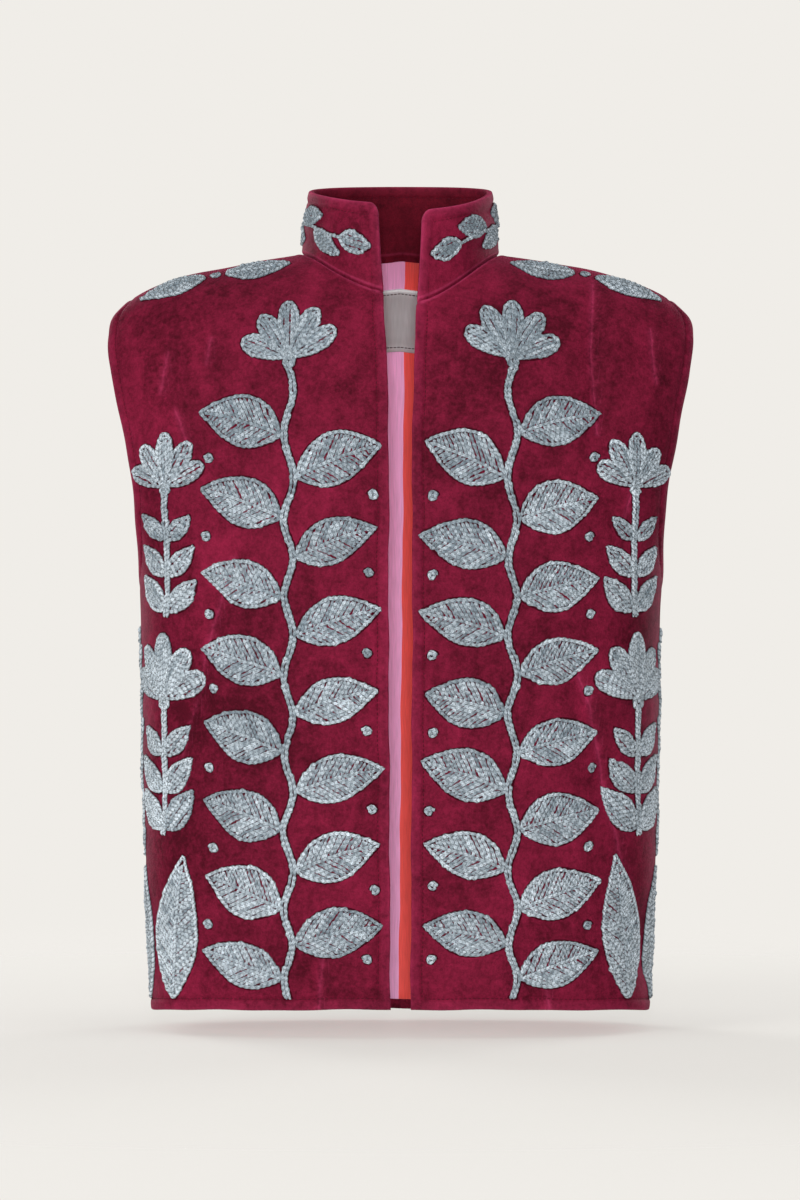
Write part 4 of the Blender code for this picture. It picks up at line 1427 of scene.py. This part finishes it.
def lay_contact_shadow(name, chart, rows):
    """The pressed pile and painted shadow along all edge rows of a piece, which are the rows with a small
    lift.
    """
    edge_rows = [line for line, lift in rows if 0 < lift <= OUTLINE_LIFT]
    points, faces = joined(contact_shadow_strip(chart, line) for line in edge_rows)
    piece = mesh_piece(name, points, faces, contact_shadow_finish)
    print(name, len(faces), "triangles")


def sew(name, chart, rows, pale_rows=()):
    """All the chain rows of a piece as one mesh. A row is a line of the chart and its lift."""
    shaded = [(*row, 0.0) for row in rows] + [(*row, PALER) for row in pale_rows]
    points, faces, uv, shades, tuck_shades = joined(chain_strip(chart, *row) for row in shaded)
    piece = mesh_piece(name, points, faces, yarn, {"shade": shades, "tucked_shade": tuck_shades}, uv)
    print(name, len(shaded), "rows", len(faces), "triangles")


# %% [markdown]
# ## Filling a shape
# An embroiderer outlines a leaf, then fills it row by row. A pattern in a material could fake that,
# but it would have no edges of its own. The fill here is worked like the real one: an outline drawn
# in, and straight rows at an angle, cut where they meet it. Spacing varies a little, as by hand.

# %% Shapes and fills
ROW_GAP = 2.58 * MM
OUTLINE_IN = 0.45 * CHAIN_WIDE
FILL_IN = 0.80 * CHAIN_WIDE
RIB = 0.30 * CHAIN_WIDE
RIB_LIFT = 0.35 * MM
VEIN_SLANT = 0.80
LEAF_FULLNESS = 0.85
PETAL_WIDEST = 0.66
STEM_OFFSETS = (-0.42 * CHAIN_WIDE, 0.42 * CHAIN_WIDE)


def drawn_in(shape, distance):
    """A closed outline moved inwards."""
    x, y = shape.T
    turning = np.sign(np.sum(x * np.roll(y, -1) - y * np.roll(x, -1)))
    ahead = unit(np.roll(shape, -1, axis=0) - np.roll(shape, 1, axis=0))
    return shape + np.stack([-ahead[:, 1], ahead[:, 0]], 1) * turning * distance


def rotated(points, angle):
    c, s = math.cos(angle), math.sin(angle)
    return np.asarray(points) @ np.array([[c, s], [-s, c]])


def hatch(shape, angle):
    """Rows across a closed shape, at an angle to its own axis."""
    turned = rotated(shape, -angle)
    following = np.roll(turned, -1, axis=0)
    low, high = turned[:, 1].min(), turned[:, 1].max()
    count = max(int(round((high - low) / ROW_GAP)), 1)
    gap = (high - low) / count
    rows = []
    for number in range(count):
        height = low + (number + 0.5 + rng.uniform(-0.12, 0.12)) * gap
        crossing = (turned[:, 1] > height) != (following[:, 1] > height)
        p, q = turned[crossing], following[crossing]
        xs = np.sort(p[:, 0] + (height - p[:, 1]) / (q[:, 1] - p[:, 1]) * (q[:, 0] - p[:, 0]))
        for start, end in zip(xs[::2], xs[1::2]):
            if end - start > 0.5 * CHAIN_PITCH:
                bow = rng.normal(0, 0.2 * MM)
                t = np.linspace(0, 1, 6)
                row = np.stack([start + (end - start) * t, height + bow * np.sin(math.pi * t)], 1)
                rows.append(rotated(row, angle))
    return rows


def almond(length, width):
    """Pointed leaf along +X, fuller towards its base, drawn by hand, so never quite even."""
    t = np.linspace(0, 1, 26)
    half = 0.5 * width * np.sin(math.pi * t**LEAF_FULLNESS) ** 0.92
    upper = np.stack([length * t, half * rng.uniform(0.93, 1.07)], 1)
    lower = np.stack([length * t, -half * rng.uniform(0.93, 1.07)], 1)
    return np.concatenate([upper, lower[-2:0:-1]])


def round_petal(length, width):
    """Round-ended petal along +X, widest near its end."""
    t = 0.5 - 0.5 * np.cos(np.linspace(0, math.pi, 24))
    rising = np.sin(0.5 * math.pi * np.minimum(t / PETAL_WIDEST, 1)) ** 0.9
    closing = np.sqrt(np.clip(1 - ((t - PETAL_WIDEST) / (1 - PETAL_WIDEST)) ** 2, 0, 1))
    half = 0.5 * width * np.where(t < PETAL_WIDEST, rising, closing)
    upper = np.stack([length * t, half], 1)
    return np.concatenate([upper, upper[-2:0:-1] * (1, -1)])


def bent(points, curve):
    """Bends what lies along +X into an arc, whose curvature is 1 / its radius in metres."""
    points = np.asarray(points, float)
    if abs(curve) < 1e-6:
        return points
    angle = points[:, 0] * curve
    radius = 1 / curve - points[:, 1]
    return np.stack([radius * np.sin(angle), 1 / curve - radius * np.cos(angle)], 1)


def outline_row(shape, curve):
    edge = drawn_in(shape, OUTLINE_IN)
    return bent(np.concatenate([edge, edge[:1]]), curve), OUTLINE_LIFT


def veined_leaf(length, width, curve):
    """Outline, slanting veins on both sides and a midrib."""
    shape = almond(length, width)
    core = drawn_in(shape, FILL_IN)
    upper, lower = core[1:25], core[26:]
    rows = []
    for half, side in ((upper[upper[:, 1] > RIB], 1), (lower[lower[:, 1] < -RIB], -1)):
        half = half[np.argsort(half[:, 0])]
        rib_line = np.stack([half[::-1, 0], np.full(len(half), side * RIB)], 1)
        veins = hatch(np.concatenate([half, rib_line]), side * VEIN_SLANT)
        rows += [(bent(row, curve), 0.0) for row in veins]
    rows.append(outline_row(shape, curve))
    midrib = np.stack([np.linspace(0.03 * length, 0.93 * length, 14), np.zeros(14)], 1)
    rows.append((bent(midrib, curve), RIB_LIFT))
    return rows


def filled(shape, curve=0.0):
    """Outline and lengthwise rows of a small shape along +X."""
    rows = [(bent(row, curve), 0.0) for row in hatch(drawn_in(shape, FILL_IN), 0.0)]
    return [*rows, outline_row(shape, curve)]


def moved(rows, place, angle=0.0, mirror=1):
    """A motif's rows mirrored, turned and set down at a place of the chart."""
    return [(rotated(np.asarray(line) * (1, mirror), angle) + place, lift) for line, lift in rows]


def smooth_line(points, count=24):
    points = np.asarray(points, float)
    t = np.linspace(0, len(points) - 1, count)
    line = read_along(points, np.arange(len(points)), t)
    for _ in range(6):
        line[1:-1] = (line[:-2] + 2 * line[1:-1] + line[2:]) / 4
    return line


def stem(points):
    """Two rows of chain side by side through a few points."""
    line = smooth_line(points)
    ahead = unit(np.gradient(line, axis=0))
    side = np.stack([-ahead[:, 1], ahead[:, 0]], 1)
    return [(line + side * offset, STEM_LIFT) for offset in STEM_OFFSETS]


# %% [markdown]
# ## Motifs
# The ornament is a plain garden one, of shapes that folk embroidery shares everywhere: veined
# leaves on a winding stem, round berries, and flowers with a fan of petals. Each could be drawn once
# and copied, but hand work never repeats exactly, so a function draws every leaf a little otherwise.

# %% Motifs
PETALS = 5
PETAL_FAN = 2.1  # radians from the first petal to the last
SPRIG_PAIRS = 3


def berry(radius):
    """A spiral from the rim to the middle."""
    turns = radius / (0.80 * CHAIN_WIDE)
    t = np.linspace(0, turns * math.tau, int(24 * turns))
    reach = (radius - OUTLINE_IN) * (1 - t / t[-1]) + 0.3 * MM
    return [(np.stack([reach * np.cos(t), reach * np.sin(t)], 1), 0.15 * MM)]


def flower(size):
    """A fan of round petals over a small cup, opening along +X."""
    rows = []
    for k in range(PETALS):
        lean = (k / (PETALS - 1) - 0.5) * PETAL_FAN
        long = size * (1 - 0.10 * abs(lean)) * rng.uniform(0.96, 1.04)
        rows += moved(filled(round_petal(long, 0.38 * size), 3.0 * lean), (0.06 * size, 0), lean)
    return rows + moved(berry(0.13 * size), (0.02 * size, 0))


def sprig(height, size):
    """A flower on a stem with pairs of leaves, growing along +X."""
    rows = stem([(0, 0), (0.5 * height, 1.5 * MM), (height, 0)])
    for pair in range(SPRIG_PAIRS):
        start = (0.05 + 0.28 * pair) * height
        for side in (1, -1):
            long = 0.92 * size * (1 - 0.12 * pair) * rng.uniform(0.94, 1.06)
            leaf = filled(almond(long, 0.50 * long), -7.0)
            rows += moved(leaf, (start, side * MM), side * 0.95, side)
    return rows + moved(flower(size), (height, 0))


def garland(length, leaf, step, tilt, plump):
    """A wavy stem along +X with leaves up and down by turns, and one at its end."""
    places = np.linspace(0.5 * step, length - 0.85 * leaf, int(round(length / step)))
    t = np.linspace(0, length, max(int(length / (3 * MM)), 8))
    rows = [(np.stack([t, 1.2 * MM * np.sin(math.pi * t / step)], 1), STEM_LIFT)]
    for k, place in enumerate(places):
        side = 1 if k % 2 == 0 else -1
        long = leaf * rng.uniform(0.92, 1.06)
        small = filled(almond(long, plump * long), -9.0)
        rows += moved(small, (place, side * 1.6 * MM), side * tilt, side)
    return rows + moved(filled(almond(0.8 * leaf, 0.8 * plump * leaf)), (length - 2 * MM, 0))


# %% [markdown]
# ## Layout
# A stem winds up each front. A large leaf grows from each of its bends, to the left and to the right
# by turns, with a berry between two leaves. Flower sprigs fill the sides, a garland follows the side
# seam, and leaves lie along the shoulder and round the collar. Each half of the back repeats it. The
# places could be found by eye on a flat pattern. Here they are the chart's metres: girth, then height.

# %% Layout
VINE_AT = {False: 0.0875, True: 0.0800}
VINE_FOOT = -0.588
VINE_HEAD = -0.090
LEAF_STEP = 0.0305
LEAF_LONG = 0.0705
LEAF_WIDE = 0.0385
LEAF_TILT = math.radians(24)
UPWARD = math.pi / 2


def vine(behind):
    """A winding stem with its leaves and berries, and a flower at the top."""
    middle = VINE_AT[behind]
    ups = np.arange(VINE_FOOT, VINE_HEAD, LEAF_STEP / 4)
    bends = math.pi * (ups - VINE_FOOT) / LEAF_STEP
    winding = np.stack([middle + 4.5 * MM * np.sin(bends), ups], 1)
    vine_line = smooth_line(winding, 160)
    rows = [(vine_line + (offset, 0), STEM_LIFT) for offset in STEM_OFFSETS]
    steps = int((VINE_HEAD - VINE_FOOT) / LEAF_STEP) - 1
    for k in range(steps):
        side = 1 if k % 2 == 0 else -1
        up = VINE_FOOT + (k + 0.5) * LEAF_STEP + rng.uniform(-1, 1) * MM
        place = np.array([middle + side * 5 * MM, up])
        tilt = LEAF_TILT + math.radians(rng.uniform(-5, 5))
        tilt = tilt if side > 0 else math.pi - tilt
        long = LEAF_LONG * rng.uniform(0.95, 1.03)
        wide = LEAF_WIDE * rng.uniform(0.93, 1.09)
        rows += moved(veined_leaf(long, wide, -3.5), place, tilt, side)
        if k > 0:
            berry_at = place + (side * rng.uniform(0.056, 0.062), -rng.uniform(0.012, 0.015))
            rows += moved(berry(4.6 * MM), berry_at)
    return rows + moved(flower(46 * MM), (middle + 1 * MM, VINE_HEAD - 4 * MM), UPWARD)


def side_rows(behind):
    """Sprigs in two tiers beside the vine, a garland by the side seam, tall leaves at the hem."""
    inward = VINE_AT[behind] - VINE_AT[False]
    rows = moved(sprig(104 * MM, 52 * MM), (0.200 + inward, -0.456), UPWARD + 0.02)
    rows += moved(veined_leaf(0.120, 0.046, 1.2), (0.188 + inward, -0.589), UPWARD + 0.03)
    rows += moved(veined_leaf(0.110, 0.034, -1.2), (0.2320, -0.589), UPWARD + 0.02)
    rows += moved(garland(0.170, 18 * MM, 16 * MM, 0.60, 0.46), (0.2490, -0.474), UPWARD)
    rows += moved(sprig(100 * MM, 43 * MM), (0.1935 + inward, -0.284), UPWARD + 0.03)
    return rows


def shoulder_rows():
    """Two leaves back to back along the shoulder, with a berry between them."""
    up = UP_TOP - 0.033
    rows = moved(veined_leaf(0.054, 0.027, 1.5), (0.141, up), math.pi + 0.04, -1)
    rows += moved(veined_leaf(0.058, 0.028, -1.5), (0.155, up - 1 * MM), -0.06)
    return rows + moved(berry(5 * MM), (0.148, up))


for name in PANELS:
    behind = name.startswith("back")
    middle_rows, edge_rows = vine(behind) + shoulder_rows(), side_rows(behind)
    sew("embroidery_" + name, charts[name], middle_rows, edge_rows)
    lay_contact_shadow("pile_contact_shadow_" + name, charts[name], middle_rows + edge_rows)

COLLAR_MIDDLE = 0.030  # above the neckline
NAPE_GAP = 0.010  # from the middle of the nape to a garland's start
GARLAND_SHORT = 0.051  # by which a garland is shorter than half the collar
collar_half = collar_steps[-1] / 2
collar_motifs = moved(berry(8 * MM), (collar_half, COLLAR_MIDDLE))
for start, angle in ((collar_half - NAPE_GAP, math.pi), (collar_half + NAPE_GAP, 0.0)):
    leaves = garland(collar_half - GARLAND_SHORT, 44 * MM, 33 * MM, 0.50, 0.50)
    collar_motifs += moved(leaves, (start, COLLAR_MIDDLE), angle)
sew("embroidery_collar", collar_chart, collar_motifs)
lay_contact_shadow("pile_contact_shadow_collar", collar_chart, collar_motifs)

# %% [markdown]
# ## Topstitching
# Every free edge is held by a row of machine stitches in a matching thread. They sit in the pressed
# groove, so from afar only a thin line is seen. A dashed line in the material would be cheaper, but
# small lozenges of mesh catch the light as thread does. The label has thicker ones, in a dark thread.

# %% Topstitches
THREAD_THICK = 0.28 * MM
STITCH_LONG = 2.6 * MM
STITCH_GAP = 0.9 * MM
LABEL_THREAD_THICK = 0.36 * MM
LABEL_STITCH_GAP = 0.4 * MM
GROOVE_LINE = 10  # row and column of a panel's grid that lie 9 mm in from its edges
THREAD_DEEP = GROOVE_DEEP - 0.1 * MM
FUZZ_SCALE = 900.0
thread, tt, ts = new_material("topstitch_thread", 0.7, Specular_IOR_Level=0.12)
fuzz = noise(tt, object_place(tt), FUZZ_SCALE)
fuzzy = mix_color(tt, fuzz, (0.040, 0.0015, 0.007, 1), (0.120, 0.005, 0.020, 1))
tt.links.new(fuzzy, ts.inputs["Base Color"])
dark_thread, dt, ds = new_material("label_thread", 0.5, Specular_IOR_Level=0.3)
fuzz = node(dt, "TexNoise", {"Scale": FUZZ_SCALE}).outputs[0]
fuzzy = mix_color(dt, fuzz, (0.03, 0.02, 0.022, 1), (0.09, 0.06, 0.065, 1))
dt.links.new(fuzzy, ds.inputs["Base Color"])


def stitches(line, out, gap, thick):
    """Small lozenges of thread along a line: its start, two rings of four points, its end."""
    run = run_along(line)
    starts = np.arange(gap, run[-1] - STITCH_LONG, STITCH_LONG + gap)
    places = starts[:, None] + STITCH_LONG * np.array([0, 0.2, 0.8, 1.0])
    on_line = read_along(line, run, places)
    up = unit(read_along(out, run, places))
    ahead = unit(on_line[:, 3:] - on_line[:, :1])
    side = np.cross(up, ahead)
    corners = []
    for across, rise in ((1, 0), (0, 1), (-1, 0), (0, -1)):
        away = across * 1.2 * side[:, 1:3] + (rise + 0.5) * up[:, 1:3]
        corners.append(on_line[:, 1:3] + thick * away)
    rings = np.stack(corners, 2)
    points = np.concatenate([on_line[:, :1], rings[:, 0], rings[:, 1], on_line[:, 3:]], 1)
    faces = []
    for k in range(4):
        n = (k + 1) % 4
        faces += [(0, 1 + k, 1 + n), (1 + k, 5 + k, 5 + n), (1 + k, 5 + n, 1 + n), (5 + k, 9, 5 + n)]
    first = np.arange(len(points))[:, None, None] * 10
    return points.reshape(-1, 3), (np.array(faces) + first).reshape(-1, 3)


def sew_seams(name, runs, finish, gap, thick):
    """All the stitches of some runs as one mesh. A run is a line and its directions out."""
    points, faces = joined(stitches(line, out, gap, thick) for line, out in runs)
    piece = mesh_piece(name, points, faces, finish)
    print(name, len(faces) // 16, "stitches")


def groove_runs(name):
    """Lines in the grooves of a panel, 9 mm in from its free edges."""
    points, out, _, levels, corner = grids[name]
    underarm = int(np.argmin(np.abs(levels - UNDERARM)))
    surface = points - out * THREAD_DEEP
    g = GROOVE_LINE
    runs = [(surface[g, g:-1], out[g, g:-1])]
    if name.startswith("front"):
        runs.append((surface[g:corner, g], out[g:corner, g]))
    edge, edge_out = points[underarm:, -1], out[underarm:, -1]
    away = unit(np.cross(np.gradient(edge, axis=0), edge_out))
    if (away * (points[underarm:, -6] - edge)).sum() < 0:
        away = -away
    target = edge + away * GROOVE_IN
    flat, flat_out = surface.reshape(-1, 3), out.reshape(-1, 3)
    nearest = np.array([np.linalg.norm(flat - place, axis=1).argmin() for place in target])
    drop = ((target - flat[nearest]) * flat_out[nearest]).sum(1, keepdims=True)
    runs.append((target - flat_out[nearest] * drop, flat_out[nearest]))
    return runs


thread_runs = [run for name in PANELS for run in groove_runs(name)]
top_row = BAND_ROWS.searchsorted(1 - 0.156)
collar_front = collar_surface(BAND_ROWS, THREAD_DEEP)
collar_back = collar_surface(BAND_ROWS, VELVET + SEAM + FACING - THREAD_DEEP)
for face, facing in ((collar_front, 1), (collar_back, -1)):
    thread_runs.append((face[top_row, 8:-8], facing * outward[8:-8]))
    for column in (8, -9):
        thread_runs.append((face[3:top_row, column], np.repeat(facing * outward[[column]], top_row - 3, 0)))
sew_seams("topstitching", thread_runs, thread, STITCH_GAP, THREAD_THICK)
toward_front = np.tile((0.0, -1.0, 0.0), (LABEL_COLUMNS - 2, 1))
label_runs = [(ribbon[row, 1:-1], toward_front) for row in (1, -2)]
sew_seams("label_stitches", label_runs, dark_thread, LABEL_STITCH_GAP, LABEL_THREAD_THICK)
